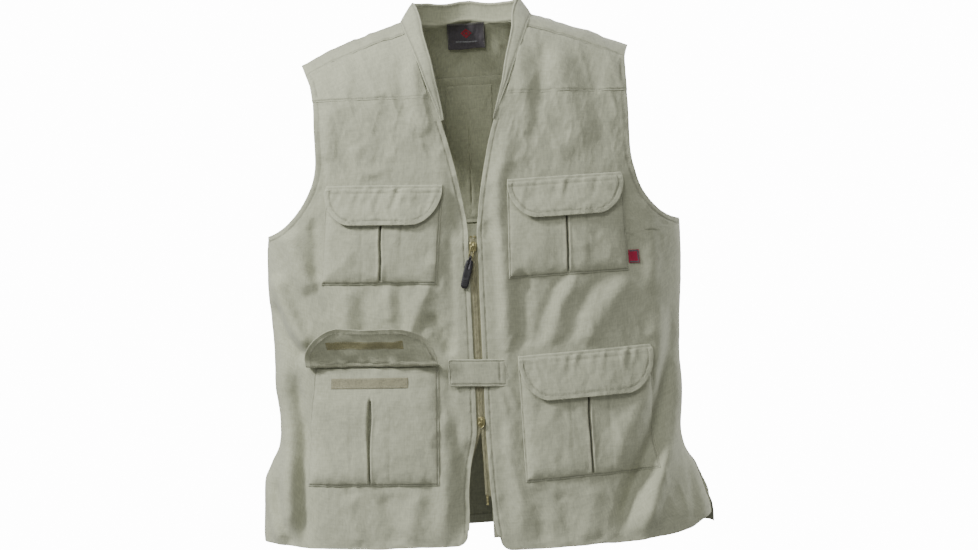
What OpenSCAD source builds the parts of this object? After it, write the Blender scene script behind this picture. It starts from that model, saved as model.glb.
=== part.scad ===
// Sleeveless fishing vest, worn shape, standing empty.
// +Z is up, the front faces -Y, and the wearer's left is +X.
// The origin is the middle of the neck, level with the nape seam.

/* [Body] */
// Half width at the chest, side seam to middle
chest_half_w = 277; // [265:1:285]
// Half width at the waist, the narrowest row
waist_half_w = 266; // [255:1:277]
// Half width at the hem
hem_half_w = 302; // [285:1:310]
// Depth of the front half, side seam to zip
front_depth = 104; // [98:1:110]
// Depth of the back half at the chest
back_depth = 100; // [90:1:108]
// Depth of the back half at the waist
waist_back_depth = 92; // [84:1:100]
// Squareness of the body's cross-section, 2 is an ellipse
squareness = 2.4; // [2.1:0.1:2.8]

/* [Shoulders] */
// Half width of the neck at the shoulder seams
neck_half_w = 88; // [80:1:95]
// Height of the shoulder ridge at the neck
neck_point_z = -6; // [-12:1:0]
// Height of the shoulder tips
shoulder_tip_z = -56; // [-62:1:-50]
// Half width at the shoulder tips
shoulder_half_w = 220; // [212:1:226]
// Drop over which the shoulders round into the chest
shoulder_round = 120; // [100:5:140]
// Height of the armpits
armpit_z = -286; // [-300:1:-270]

/* [Seams and hems] */
// Front yoke seam
front_yoke_z = -110; // [-120:1:-100]
// Back yoke seam
back_yoke_z = -80; // [-95:1:-70]
// Distance from shoulder ridge to the forward shoulder seam
forward_seam = 22; // [15:1:28]
// Hem of the front panels
front_hem_z = -705; // [-715:1:-695]
// Hem of the back panel
back_hem_z = -700; // [-710:1:-690]
// Lower ends of the neckband
band_end_z = -150; // [-165:1:-140]
// Width of the neckband at the nape
band_w = 23; // [20:1:26]

/* [Pockets] */
// Depth of the pouches
pouch_depth = 10; // [9:0.5:11]
// Width of the chest pockets
chest_pocket_w = 152; // [146:1:156]
// Height of the chest pockets, flap seam to bottom
chest_pocket_h = 127; // [120:1:134]
// Length of the chest flaps
chest_flap_h = 50; // [46:1:54]
// Width of the lower pockets
lower_pocket_w = 172; // [166:1:176]
// Height of the lower pockets
lower_pocket_h = 158; // [150:1:164]
// Length of the lower flaps
lower_flap_h = 58; // [52:1:62]
// How far the open flap is turned up
open_angle = 135; // [90:1:138]

/* [Zip] */
// Top of the zip
zip_top_z = -302; // [-306:1:-298]
// Lower end of the zip
zip_end_z = -640; // [-650:1:-630]
// Width of each coil
coil_w = 2.4; // [2:0.1:2.6]
// Sideways lean of the hanging puller, degrees
pull_lean = 15; // [0:1:18]
// Length of the moulded puller
puller_l = 43; // [38:1:46]

/* [Hidden] */
$fn = 32;

cloth_t = 1.6; // thickness of a panel with its seam allowances
seam_gap = 0.4; // half the gap left between panels at a seam
sewn_gap = 0.3; // gap between a sewn-on piece and its ground
under_gap = 2.4; // gap between a panel and the facing inside it
thin_t = 0.8; // thickness of facings, tapes and strips
band_t = 2.2;
flap_t = 2;
ridge_slope = 0.29; // fall of the shoulder ridge beside the neck
armhole_half_w = 206; // half width between the armholes at their deepest
armhole_turn_z = -190; // where the armhole starts to curve under the arm
armhole_power = 1.7;
hem_rise = 16; // rise of the front hem at the side vents

sage = [0.64, 0.64, 0.58];
sage_dark = [0.52, 0.52, 0.45];
olive = [0.5, 0.49, 0.38];
brass = [0.42, 0.4, 0.28];
black = [0.1, 0.1, 0.11];
red = [0.63, 0.18, 0.28];

// ---- helpers ----
function lerp(a, b, t) = a + (b - a) * t;
function clamp01(t) = min(1, max(0, t));
function unit(v) = v / norm(v);
function quad(a, b, c, d) = [[a, b, c], [a, c, d]];

// Direction square to a grid of points, at row i and column j
function grid_normal(g, i, j) =
    let (i0 = max(0, i - 1), i1 = min(len(g) - 1, i + 1))
    let (j0 = max(0, j - 1), j1 = min(len(g[0]) - 1, j + 1))
    unit(cross(g[i][j1] - g[i][j0], g[i1][j] - g[i0][j]));

// Closed solid of a sheet over a grid of points. Seen from outside, columns run to the right and
// rows run up. The outer face is lifted off the grid, and hole = [row, row, column, column] is cut.
module sheet(g, thick, lift = 0, hole = [0, 0, 0, 0]) {
    rows = len(g);
    cols = len(g[0]);
    n = rows * cols;
    function at(i, j) = i * cols + j;
    function cut(i, j) = i >= hole[0] && i < hole[1] && j >= hole[2] && j < hole[3];
    function on(i, j) = i >= 0 && i < rows - 1 && j >= 0 && j < cols - 1 && !cut(i, j);
    function cell(i, j) = concat(
        quad(at(i, j), at(i + 1, j), at(i + 1, j + 1), at(i, j + 1)),
        quad(n + at(i, j), n + at(i, j + 1), n + at(i + 1, j + 1), n + at(i + 1, j)),
        on(i - 1, j) ? [] : quad(at(i, j), at(i, j + 1), n + at(i, j + 1), n + at(i, j)),
        on(i + 1, j) ? [] : quad(at(i + 1, j + 1), at(i + 1, j), n + at(i + 1, j), n + at(i + 1, j + 1)),
        on(i, j - 1) ? [] : quad(at(i + 1, j), at(i, j), n + at(i, j), n + at(i + 1, j)),
        on(i, j + 1) ? [] : quad(at(i, j + 1), at(i + 1, j + 1), n + at(i + 1, j + 1), n + at(i, j + 1)));
    outer = [for (i = [0:rows - 1]) for (j = [0:cols - 1]) g[i][j] + lift * grid_normal(g, i, j)];
    inner = [for (i = [0:rows - 1]) for (j = [0:cols - 1])
        g[i][j] + (lift - thick) * grid_normal(g, i, j)];
    faces = [for (i = [0:rows - 2]) for (j = [0:cols - 2]) if (on(i, j)) each cell(i, j)];
    polyhedron(concat(outer, inner), faces);
}

// Flat plate facing the front: an outline in X and Z, its front face at y = front
module slab(outline, front, thick) {
    translate([0, front + thick, 0]) rotate([90, 0, 0]) linear_extrude(thick) polygon(outline);
}

// ---- the surface of the body ----
function half_w(z) = lookup(z, [[-690, hem_half_w], [-645, hem_half_w - 5], [-610, hem_half_w - 16],
    [-560, waist_half_w], [-480, waist_half_w + 6], [-400, chest_half_w - 1], [armpit_z, chest_half_w]]);

function ridge(x) =
    let (out = abs(x) - neck_half_w, reach = shoulder_half_w - neck_half_w)
    let (fall = neck_point_z - shoulder_tip_z - ridge_slope * reach)
    neck_point_z - ridge_slope * out - fall * (out / reach) * abs(out / reach);

function crown(drop) = drop >= shoulder_round ? 1 : sqrt(1 - pow(1 - max(0, drop) / shoulder_round, 2));

function girth(x, z) =
    pow(max(0, 1 - pow(min(1, abs(x) / half_w(z)), squareness)), 1 / squareness);

function body_depth(side, z) = side < 0 ? front_depth
    : lookup(z, [[back_hem_z, back_depth + 4], [-560, waist_back_depth], [armpit_z, back_depth]]);

// Point on the body: side is -1 on the front and 1 on the back
function on_body(side, x, z) =
    [x, side * (seam_gap + body_depth(side, z) * girth(x, z) * crown(ridge(x) - z)), z];

// X at a share t of the way round from x0 to x1, in even steps of angle
function angle_of(x, z) = asin(pow(min(1, abs(x) / half_w(z)), squareness / 2)) * sign(x);
function x_at(angle, z) = sign(angle) * half_w(z) * pow(abs(sin(angle)), 2 / squareness);
function around(x0, x1, z, t) = x_at(lerp(angle_of(x0, z), angle_of(x1, z), t), z);

// Half width at the outer edge of a panel: the armhole, and the side seam below it
function under_arm(z) = pow(max(0, 1 - pow(min(1, (armhole_turn_z - z) / (armhole_turn_z - armpit_z)),
    armhole_power)), 1 / armhole_power);
function outer_x(z) = z <= armpit_z ? half_w(z)
    : z < armhole_turn_z ? lerp(chest_half_w, armhole_half_w, under_arm(z))
    : lerp(armhole_half_w, shoulder_half_w, pow(clamp01((z + 130) / (130 + shoulder_tip_z)), 2.5));

// Rows that close up towards the armpit
armhole_rows = [for (a = [90:-15:0]) armhole_turn_z - (armhole_turn_z - armpit_z) * sin(a)];

// Half width at the front opening, by height: the V above the zip, and the unzipped part below
v_edge = [[zip_top_z, 6], [-260, 10.5], [-208, 21], [band_end_z, 36], [front_yoke_z, 52], [-93, 58],
    [-36, 78], [neck_point_z, neck_half_w]];
right_edge = concat([[front_hem_z, 34], [-694, 26], [-665, 22.6], [-640, 21.2], [-605, 17], [-552, 6.2]],
    v_edge);
left_edge = concat([[front_hem_z, 22], [-694, 12], [-665, 8], [-552, 6]], v_edge);

// ---- panels ----
front_rows = concat([front_hem_z, -680, -645, -610, -580, -552, -500, -450, -400, -340], armhole_rows,
    [-160, -132, front_yoke_z - seam_gap]);
front_cols = 12;

function front_hem(x) = front_hem_z + hem_rise * pow(abs(x) / hem_half_w, 6);

module front_panel(edge) {
    grid = [for (i = [0:len(front_rows) - 1]) [for (j = [0:front_cols])
        let (z = front_rows[i], x = around(lookup(z, edge), outer_x(z), z, j / front_cols))
        on_body(-1, x, i == 0 ? front_hem(x) : z)]];
    sheet(grid, cloth_t);
}

module front_yoke() {
    steps = 4;
    grid = [for (i = [0:steps]) [for (j = [0:front_cols])
        let (t = i / steps, z_in = lerp(front_yoke_z, neck_point_z - 20, t))
        let (z_out = lerp(front_yoke_z, shoulder_tip_z - forward_seam + 1, t))
        let (x = lerp(lookup(z_in, v_edge), outer_x(z_out), j / front_cols))
        on_body(-1, x, lerp(front_yoke_z + seam_gap, ridge(x) - forward_seam - seam_gap, t))]];
    sheet(grid, cloth_t);
}

back_rows = concat([back_hem_z, -680, -645, -610, -580, -552, -500, -450, -400, -340], armhole_rows,
    [-160, -120, back_yoke_z - seam_gap]);
back_cols = 22;

module back_half() {
    grid = [for (z = back_rows) [for (j = [0:back_cols])
        on_body(1, around(outer_x(z), -outer_x(z), z, j / back_cols), z)]];
    sheet(grid, cloth_t);
}

// The back yoke runs from the back seam over the shoulders to the forward seams. A row behind the
// ridge lies at a share q of the way from the ridge to the back seam, and the neckline starts at q = 0.
nape_share = -ridge(0) / (back_yoke_z - ridge(0));
nape_half_w = 6; // half width of the straight part of the neckline
yoke_back_rows = concat([1, 0.7, 0.4], [for (t = [1, 0.8, 0.55, 0.25, 0.07, 0]) t * nape_share]);
yoke_front_rows = [0.06, 0.25, 0.6, 1];
yoke_cols = 9;

function neck_x(q) = max(nape_half_w, neck_half_w * sqrt(max(0, 1 - q / nape_share)));
function behind_ridge(x, q) = on_body(1, x, ridge(x) - q * (ridge(x) - back_yoke_z - seam_gap));
function before_ridge(x, p) = on_body(-1, x, ridge(x) - p * (forward_seam - seam_gap));
function forward_neck_x(p) = lerp(neck_half_w, lookup(neck_point_z - 20, v_edge), p);
function forward_tip_x(p) = outer_x(lerp(shoulder_tip_z, shoulder_tip_z - forward_seam, p));

module yoke_cloth() {
    shares = [for (j = [0:yoke_cols]) 1 - j / yoke_cols];
    // The two halves meet at a strip as wide as the straight part of the neckline
    signed = concat([for (s = shares) [1, s]], [for (j = [yoke_cols:-1:0]) [-1, shares[j]]]);
    back = [for (q = yoke_back_rows) [for (c = signed)
        let (tip = outer_x(lerp(shoulder_tip_z, back_yoke_z, q)))
        behind_ridge(c[0] * lerp(neck_x(q), tip, c[1]), q)]];
    front = [for (p = yoke_front_rows) [for (c = signed)
        before_ridge(c[0] * lerp(forward_neck_x(p), forward_tip_x(p), c[1]), p)]];
    sheet(concat(back, front), cloth_t, hole = [3, len(back) + len(front), yoke_cols, yoke_cols + 1]);
}

module pleat_underlay() {
    half = 32;
    grid = [for (z = [-278, -210, -140, back_yoke_z - 4]) [for (x = [half, half / 2, 0, -half / 2, -half])
        on_body(1, x, z)]];
    sheet(grid, thin_t, lift = -cloth_t - under_gap);
}

// ---- neckband ----
// Seam line of half the band, from its lower front end to the nape, with the share of the way
band_seam = concat(
    [for (z = [band_end_z, -128, -104, -80, -56, -36]) on_body(-1, lookup(z, v_edge), z)],
    [for (p = [1, 0.6, 0.25, 0.06]) before_ridge(forward_neck_x(p), p)],
    [for (t = [0.02, 0.15, 0.35, 0.55, 0.75, 0.9]) behind_ridge(neck_x(t * nape_share), t * nape_share)],
    [behind_ridge(nape_half_w, nape_share)]);

// Which way the band stands up from its seam: along the cloth at the V, upright at the nape
function band_dir(i) =
    let (t = i / (len(band_seam) - 1))
    unit([lookup(t, [[0, -0.94], [0.35, -0.9], [0.6, -0.47], [0.8, -0.2], [1, 0]]),
        lookup(t, [[0, 0], [0.6, 0], [1, -0.12]]),
        lookup(t, [[0, 0.34], [0.35, 0.4], [0.6, 0.88], [1, 1]])]);
function band_width(i) =
    lookup(i / (len(band_seam) - 1), [[0, 9], [0.2, 19], [0.6, band_w + 2], [1, band_w]]);
function band_column(i) = [for (v = [0, 0.5, 1])
    band_seam[i] + band_dir(i) * lerp(seam_gap * 2, band_width(i), v)];
function flip_x(p) = [-p[0], p[1], p[2]];

module band_cloth() {
    count = len(band_seam);
    left = [for (i = [0:count - 1]) band_column(i)];
    right = [for (i = [count - 1:-1:0]) [for (p = left[i]) flip_x(p)]];
    ring = concat(left, right);
    // From outside, the left half starts at the lower front end and runs over to the back
    sheet([for (v = [0:2]) [for (c = ring) c[v]]], band_t, lift = band_t / 2);
}

// ---- armhole facing, one open loop from armpit to armpit ----
facing_w = 16;
facing_heights = concat([for (row = [3:len(armhole_rows) - 1]) armhole_rows[row]],
    [-160, -130, -105, -85, -70, -61]);

function facing_pair(side, z) =
    let (x = outer_x(z), under = clamp01((armhole_turn_z - z) / (armhole_turn_z - armpit_z)))
    let (x_in = x - facing_w * sqrt(1 - under * under), along = clamp01((z + 130) / 50))
    [on_body(side, x, z), on_body(side, x_in, z - facing_w * under + along * (ridge(x_in) - ridge(x)))];
function tip_pair() = [for (x = [shoulder_half_w, shoulder_half_w - facing_w]) [x, 0, ridge(x)]];

module armhole_facing() {
    up = [for (z = facing_heights) facing_pair(-1, z)];
    down = [for (i = [len(facing_heights) - 1:-1:0]) facing_pair(1, facing_heights[i])];
    loop = concat(up, [tip_pair()], down);
    sheet([for (k = [0, 1]) [for (pair = loop) pair[k]]], thin_t, lift = -cloth_t - under_gap);
}

// ---- pockets ----
// Corners on the front in X and Z: upper left, upper right, lower right, lower left, as seen
function corners(left, top, lean, w, h, low_w, turn) = [[left, top], [left + w, top + turn],
    [left + w + lean, top + turn - h], [left + w + lean - low_w, top - h]];
right_chest = corners(-188, -229, -13, chest_pocket_w, chest_pocket_h, chest_pocket_w, -6);
left_chest = corners(45, -232, 1, chest_pocket_w, chest_pocket_h, chest_pocket_w + 4, 4);
right_lower = corners(-224, -463, -6, lower_pocket_w, lower_pocket_h - 2, lower_pocket_w + 2, -4);
left_lower = corners(50, -463, 3, lower_pocket_w, lower_pocket_h + 1, lower_pocket_w, 7);

mouth_drop = 10; // from the flap seam to the edge of the pouch
fold_w = 2.2; // how far the pouch walls lean in
pleat_depth = 1.5;
roof_drop = 9; // distance over which a flap comes out over its pouch
strip_top = 20; // from the flap seam to the fastening strips
strip_h = 13;
pouch_u = [0.2, 0.35, 0.44, 0.485, 0.515, 0.56, 0.65, 0.8];
flap_corner_r = 36;

function on_quad(c, u, v) = lerp(lerp(c[3], c[2], u), lerp(c[0], c[1], u), v);
function front_normal(x, z) = unit(cross(on_body(-1, x + 1, z) - on_body(-1, x - 1, z),
    on_body(-1, x, z + 1) - on_body(-1, x, z - 1)));
function off_front(p, h) = on_body(-1, p[0], p[1]) + h * front_normal(p[0], p[1]);
function quad_w(c) = norm(c[1] - c[0]);
function quad_h(c) = norm(c[0] - c[3]);
// Point of a pocket at a share u across and a distance s below the flap seam, lifted by h
function at_pocket(c, u, s, h) = off_front(on_quad(c, u, 1 - s / quad_h(c)), h);

module pouch(c) {
    edge = fold_w / quad_w(c);
    low = quad_h(c);
    across = concat([0, edge], [for (k = [0:3]) pouch_u[k]], [0.5], [for (k = [4:7]) pouch_u[k]],
        [1 - edge, 1]);
    down = [low, low - fold_w, low * 0.75, low * 0.5, strip_top + strip_h, mouth_drop];
    function lift(u, s) = u == 0 || u == 1 || s == low ? sewn_gap + 0.3
        : u == 0.5 ? pouch_depth - pleat_depth : pouch_depth;
    sheet([for (s = down) [for (u = across) at_pocket(c, u, s, lift(u, s))]], 1.2);
}

// Fastening strip, its outer face at height h off the front
module strip(c, h) {
    sheet([for (s = [strip_top + strip_h, strip_top]) [for (u = pouch_u) at_pocket(c, u, s, h)]], 0.5);
}

// The flap turns about a straight line in front of its curved seam
hinge_out = 4;
function hinge_ends(c) =
    let (a = off_front(c[0], hinge_out), b = off_front(c[1], hinge_out))
    let (m = off_front((c[0] + c[1]) / 2, hinge_out), bulge = [0, m[1] - (a[1] + b[1]) / 2, 0])
    [a + bulge, b + bulge];

module flap(c, length) {
    r = flap_corner_r;
    w = quad_w(c);
    rise = [0, 1.5, 5, 11, 20, 32]; // heights above the flap's lower edge
    down = concat([for (e = rise) length - e], [roof_drop]);
    cols = 12;
    ends = hinge_ends(c);
    function inset(s) = r / w * (1 - sqrt(1 - pow(1 - min(1, (length - s) / r), 2)));
    cover = [for (s = down) [for (j = [0:cols])
        at_pocket(c, lerp(inset(s), 1 - inset(s), j / cols), s, pouch_depth + 4.3)]];
    seam = [for (j = [0:cols]) lerp(ends[0], ends[1], j / cols) - [0, 0, 0.6]];
    sheet(concat(cover, [seam]), flap_t);
}

module turned_up(c, angle) {
    ends = hinge_ends(c);
    translate(ends[0]) rotate(a = -angle, v = ends[1] - ends[0]) translate(-ends[0]) children();
}

hook_lift = pouch_depth + 1.9;
loop_lift = pouch_depth + 0.8;

// ---- zip ----
zip_y = -front_depth - seam_gap; // outer face of the front panels at the zip
tape_front = zip_y + cloth_t + 0.5;
tape_w = 12;
coil_in = 0.6;
coil_front = tape_front - 0.8;
coil_t = thin_t + 1.6;
split_z = -552; // below here the two halves are apart
right_split = 16.6; // sideways shift of the right half at its lower end
left_split = 0.8;

// Outline of a strip of the zip on the wearer's left, w wide from x0
function zip_strip(x0, w, split, top, bottom) =
    [[x0, top], [x0, split_z], [x0 + split, bottom], [x0 + split + w, bottom], [x0 + w, split_z],
    [x0 + w, top]];
module zip_tape(split) {
    slab(zip_strip(coil_in + coil_w + 0.05, tape_w, split, zip_top_z, zip_end_z), tape_front, thin_t);
}
module zip_coil(split) {
    slab(zip_strip(coil_in, coil_w, split, zip_top_z - 2, zip_end_z), coil_front, coil_t);
}
module zip_pin(split) {
    slab(block(coil_in + split - 0.2, coil_in + split + coil_w + 0.4, zip_end_z - 12, zip_end_z - 0.1),
        coil_front, coil_t);
}
module front_facing(split) {
    slab(zip_strip(8, 28, split, zip_top_z, front_hem_z + 12), coil_front + coil_t + 0.3, thin_t);
}

slider_w = 9.4;
slider_h = 13;
slider_plate = 1.4;
slider_front = coil_front - 0.5 - slider_plate;
slider_back = coil_front + coil_t + 0.5;
lug_w = 2.4;
lug_depth = 3.4;
bore_r = 0.95;
bar_r = 0.87;
lug_y = slider_front - 1.7;

// Slider hanging from its nose at z = 0, with the lug at z = lug_z and leaning by lean
module slider(lug_z, lean) {
    nose = 2.4;
    outline = [[-slider_w / 2, -nose], [-nose, 0], [nose, 0], [slider_w / 2, -nose],
        [slider_w / 2 - 1.2, -slider_h], [1.2 - slider_w / 2, -slider_h]];
    difference() {
        union() {
            slab(outline, slider_front, slider_plate);
            slab(outline, slider_back, slider_plate);
            slab([[-0.4, -0.4], [0.4, -0.4], [0.4, -4], [-0.4, -4]], slider_front + 0.4,
                slider_back - slider_front);
            translate([0, slider_front + 0.2 - lug_depth / 2, lug_z]) rotate([0, lean, 0])
                cube([lug_w, lug_depth, 5.4], center = true);
        }
        translate([0, lug_y, lug_z]) rotate([0, 90 + lean, 0]) cylinder(r = bore_r, h = 12, center = true);
    }
}

top_nose_z = -309;
bottom_nose_z = -549; // the lower slider hangs nose down
top_lug_z = top_nose_z - 6;
bottom_lug_z = bottom_nose_z + 6;
bail_l = 15;
bail_w = 6.4;
wire = 1.5;

// Moves the pull and the puller from their own frame, pivot at the origin, to the upper slider
module at_top_lug() {
    translate([0, lug_y, top_lug_z]) rotate([0, pull_lean, 0]) children();
}

module bail() {
    rotate([0, 90, 0]) cylinder(r = bar_r, h = bail_w, center = true);
    for (s = [-1, 1]) translate([s * (bail_w - wire) / 2, 0, -bail_l / 2])
        cube([wire, wire, bail_l], center = true);
    translate([0, 0, -bail_l]) rotate([0, 90, 0]) cylinder(r = bar_r, h = bail_w, center = true);
}

module puller_body() {
    eye_h = 2.4;
    difference() {
        union() {
            translate([0, 0, -bail_l]) cube([bail_w - 2 * wire - 0.6, 4, 2 * eye_h], center = true);
            hull() for (z = [-bail_l - 7, -bail_l - puller_l + 3]) for (x = [-2.4, 2.4])
                translate([x, 0, z]) sphere(r = 2.2, $fn = 16);
            translate([0, 0, -bail_l - 4.2]) cube([bail_w - 2 * wire - 0.6, 3.4, 5], center = true);
        }
        translate([0, 0, -bail_l]) rotate([0, 90, 0]) cylinder(r = bore_r, h = 12, center = true);
    }
}

ring_r = 3.4;
module pull_ring() {
    translate([0, lug_y, bottom_lug_z - ring_r]) rotate([90, 0, 0]) rotate_extrude()
        translate([ring_r, 0]) circle(r = 0.65, $fn = 16);
}

// ---- waist tab ----
tab_left = -38;
tab_right = 37;
tab_top = -461;
tab_low = -496;
tab_back = zip_y - 2.1;
tab_t = 2;
function block(x0, x1, z0, z1) = [[x0, z0], [x1, z0], [x1, z1], [x0, z1]];

// ---- the nodes ----
module back_panel() { color(sage_dark) back_half(); }
module back_yoke() { color(sage) yoke_cloth(); }
module back_pleat_underlay() { color(sage_dark) pleat_underlay(); }
module right_front_panel() { color(sage) mirror([1, 0, 0]) front_panel(right_edge); }
module left_front_panel() { color(sage) front_panel(left_edge); }
module right_front_yoke() { color(sage) mirror([1, 0, 0]) front_yoke(); }
module left_front_yoke() { color(sage) front_yoke(); }
module neckband() { color(sage) band_cloth(); }
module right_armhole_facing() { color(sage_dark) mirror([1, 0, 0]) armhole_facing(); }
module left_armhole_facing() { color(sage_dark) armhole_facing(); }
module right_front_facing() { color(sage_dark) mirror([1, 0, 0]) front_facing(right_split); }
module left_front_facing() { color(sage_dark) front_facing(left_split); }
module right_chest_pocket() { color(sage) pouch(right_chest); }
module left_chest_pocket() { color(sage) pouch(left_chest); }
module right_lower_pocket() { color(sage) pouch(right_lower); }
module left_lower_pocket() { color(sage) pouch(left_lower); }
module right_chest_flap() { color(sage) flap(right_chest, chest_flap_h); }
module left_chest_flap() { color(sage) flap(left_chest, chest_flap_h); }
module right_lower_flap() {
    color(sage) turned_up(right_lower, open_angle) flap(right_lower, lower_flap_h);
}
module left_lower_flap() { color(sage) flap(left_lower, lower_flap_h); }
module right_chest_hook_strip() { color(olive) strip(right_chest, hook_lift); }
module left_chest_hook_strip() { color(olive) strip(left_chest, hook_lift); }
module right_lower_hook_strip() {
    color(olive) turned_up(right_lower, open_angle) strip(right_lower, hook_lift);
}
module left_lower_hook_strip() { color(olive) strip(left_lower, hook_lift); }
module right_chest_loop_strip() { color(olive) strip(right_chest, loop_lift); }
module left_chest_loop_strip() { color(olive) strip(left_chest, loop_lift); }
module right_lower_loop_strip() { color(olive) strip(right_lower, loop_lift); }
module left_lower_loop_strip() { color(olive) strip(left_lower, loop_lift); }
module right_zip_tape() { color(olive) mirror([1, 0, 0]) zip_tape(right_split); }
module left_zip_tape() { color(olive) zip_tape(left_split); }
module right_zip_coil() { color(olive) mirror([1, 0, 0]) zip_coil(right_split); }
module left_zip_coil() { color(olive) zip_coil(left_split); }
module zip_top_stops() {
    color(brass) for (side = [0, 1]) mirror([side, 0, 0])
        slab(block(coil_in, coil_in + coil_w + 0.8, zip_top_z - 1.9, zip_top_z + 1.2),
            tape_front - 1.2, 0.9);
}
module right_zip_pin() { color(brass) mirror([1, 0, 0]) zip_pin(right_split); }
module left_zip_pin() { color(brass) zip_pin(left_split); }
module top_slider() {
    color(brass) translate([0, 0, top_nose_z]) slider(top_lug_z - top_nose_z, pull_lean);
}
module top_pull() { color(brass) at_top_lug() bail(); }
module puller() { color(black) at_top_lug() puller_body(); }
module bottom_slider() {
    color(brass) translate([0, 0, bottom_nose_z]) mirror([0, 0, 1]) slider(bottom_nose_z - bottom_lug_z, 0);
}
module bottom_pull() { color(brass) pull_ring(); }
module waist_tab() {
    color(sage) {
        slab(block(tab_left, tab_right, tab_low, tab_top), tab_back - tab_t, tab_t);
        slab(block(tab_right - 4, tab_right, tab_low, tab_top), tab_back - 0.5, tab_t);
    }
}
module tab_patch(front) { slab(block(tab_left + 2, -9, tab_low + 3, tab_top - 3), front, 0.6); }
module tab_hook_patch() { color(olive) tab_patch(tab_back + 0.1); }
module tab_loop_patch() { color(olive) tab_patch(zip_y - 0.8); }
module neck_label() {
    grid = [for (z = [-35, -27.5, -20, -12.5, -5]) [for (x = [26, 14, 1.5, -11, -23]) on_body(1, x, z)]];
    color(black) sheet(grid, 0.6, lift = -cloth_t - 3.4);
}
module side_tag() {
    grid = [for (z = [-345, -329]) [for (x = [201.5, 207, 213]) on_body(-1, x, z)]];
    color(red) sheet(grid, 0.8, lift = 1.4);
}

back_panel();
back_yoke();
back_pleat_underlay();
right_front_panel();
left_front_panel();
right_front_yoke();
left_front_yoke();
neckband();
right_armhole_facing();
left_armhole_facing();
right_front_facing();
left_front_facing();
right_chest_pocket();
left_chest_pocket();
right_lower_pocket();
left_lower_pocket();
right_chest_flap();
left_chest_flap();
right_lower_flap();
left_lower_flap();
right_chest_hook_strip();
left_chest_hook_strip();
right_lower_hook_strip();
left_lower_hook_strip();
right_chest_loop_strip();
left_chest_loop_strip();
right_lower_loop_strip();
left_lower_loop_strip();
right_zip_tape();
left_zip_tape();
right_zip_coil();
left_zip_coil();
zip_top_stops();
right_zip_pin();
left_zip_pin();
top_slider();
top_pull();
puller();
bottom_slider();
bottom_pull();
waist_tab();
tab_hook_patch();
tab_loop_patch();
neck_label();
side_tag();
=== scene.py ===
"""Looks of the fishing vest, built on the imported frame.

Lengths are in millimetres up to the point where a mesh is made, in the CAD's own axes: +Z is up, the
front faces -Y, and +X is the wearer's left. "left" and "right" in names are the wearer's.
"""
import math

import bpy
import numpy as np
from mathutils import Matrix, Vector, kdtree


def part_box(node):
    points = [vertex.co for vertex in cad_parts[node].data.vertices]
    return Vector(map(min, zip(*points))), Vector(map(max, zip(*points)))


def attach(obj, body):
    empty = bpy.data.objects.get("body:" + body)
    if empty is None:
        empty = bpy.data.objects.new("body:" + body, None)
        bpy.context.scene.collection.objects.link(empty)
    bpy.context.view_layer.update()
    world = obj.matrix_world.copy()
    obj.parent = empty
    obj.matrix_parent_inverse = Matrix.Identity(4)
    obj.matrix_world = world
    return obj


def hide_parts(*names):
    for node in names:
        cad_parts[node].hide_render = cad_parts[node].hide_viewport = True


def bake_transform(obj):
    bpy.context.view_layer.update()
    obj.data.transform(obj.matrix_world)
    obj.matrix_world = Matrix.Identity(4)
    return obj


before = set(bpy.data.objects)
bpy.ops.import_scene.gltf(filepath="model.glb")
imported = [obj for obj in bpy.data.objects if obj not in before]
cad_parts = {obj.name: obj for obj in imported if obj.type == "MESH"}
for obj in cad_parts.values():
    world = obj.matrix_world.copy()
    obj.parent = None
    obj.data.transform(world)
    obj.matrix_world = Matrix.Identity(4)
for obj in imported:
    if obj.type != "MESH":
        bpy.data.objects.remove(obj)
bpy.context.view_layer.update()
MM = 0.001

# ---------------------------------------------------------------- camera, light and stage


CAMERA_ROLL = math.radians(2.7)  # the vest hangs a little askew
CAMERA_AT = (0.019, -2.6, -0.353)
AIM = (0, 0, -0.35)  # the middle of the vest, which the lamps point at
KEY_POWER = 222
FRONT_POWER = KEY_POWER * 0.27
BACK_POWER = 150
WORLD_LIGHT = 0.44
FLOOR_GLOW = 2.0
STAGE_GLOW = 14.0
STAGE_SIDES = 64
STAGE_PROFILE = [(5.0, -2.3), (6.2, -2.26), (7.2, -2.05), (7.8, -1.6), (8.0, -1.0), (8.0, 8.0)]


def make_camera():
    """Level camera in front of the vest."""
    data = bpy.data.cameras.new("camera")
    data.sensor_width = 36
    data.lens = 70.8
    camera = bpy.data.objects.new("camera", data)
    bpy.context.scene.collection.objects.link(camera)
    c = math.cos(CAMERA_ROLL)
    s = math.sin(CAMERA_ROLL)
    x, y, z = CAMERA_AT
    camera.matrix_world = Matrix(((c, s, 0, x), (0, 0, -1, y), (-s, c, 0, z), (0, 0, 0, 1)))
    bpy.context.scene.camera = camera


def area_light(name, at, size, power):
    data = bpy.data.lights.new(name, "AREA")
    data.shape = "DISK"
    data.size = size
    data.energy = power
    lamp = bpy.data.objects.new(name, data)
    bpy.context.scene.collection.objects.link(lamp)
    lamp.location = at
    lamp.rotation_mode = "QUATERNION"
    lamp.rotation_quaternion = (lamp.location - Vector(AIM)).normalized().to_track_quat("Z", "Y")


def ring_faces(rings, sides, closed=False):
    """Quads between rings of points that follow each other, and from the last to the first if closed."""
    faces = []
    for row in range(rings if closed else rings - 1):
        start = row * sides
        ahead = (row + 1) % rings * sides
        for k in range(sides):
            m = (k + 1) % sides
            faces.append((start + k, start + m, ahead + m, ahead + k))
    return faces


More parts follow.
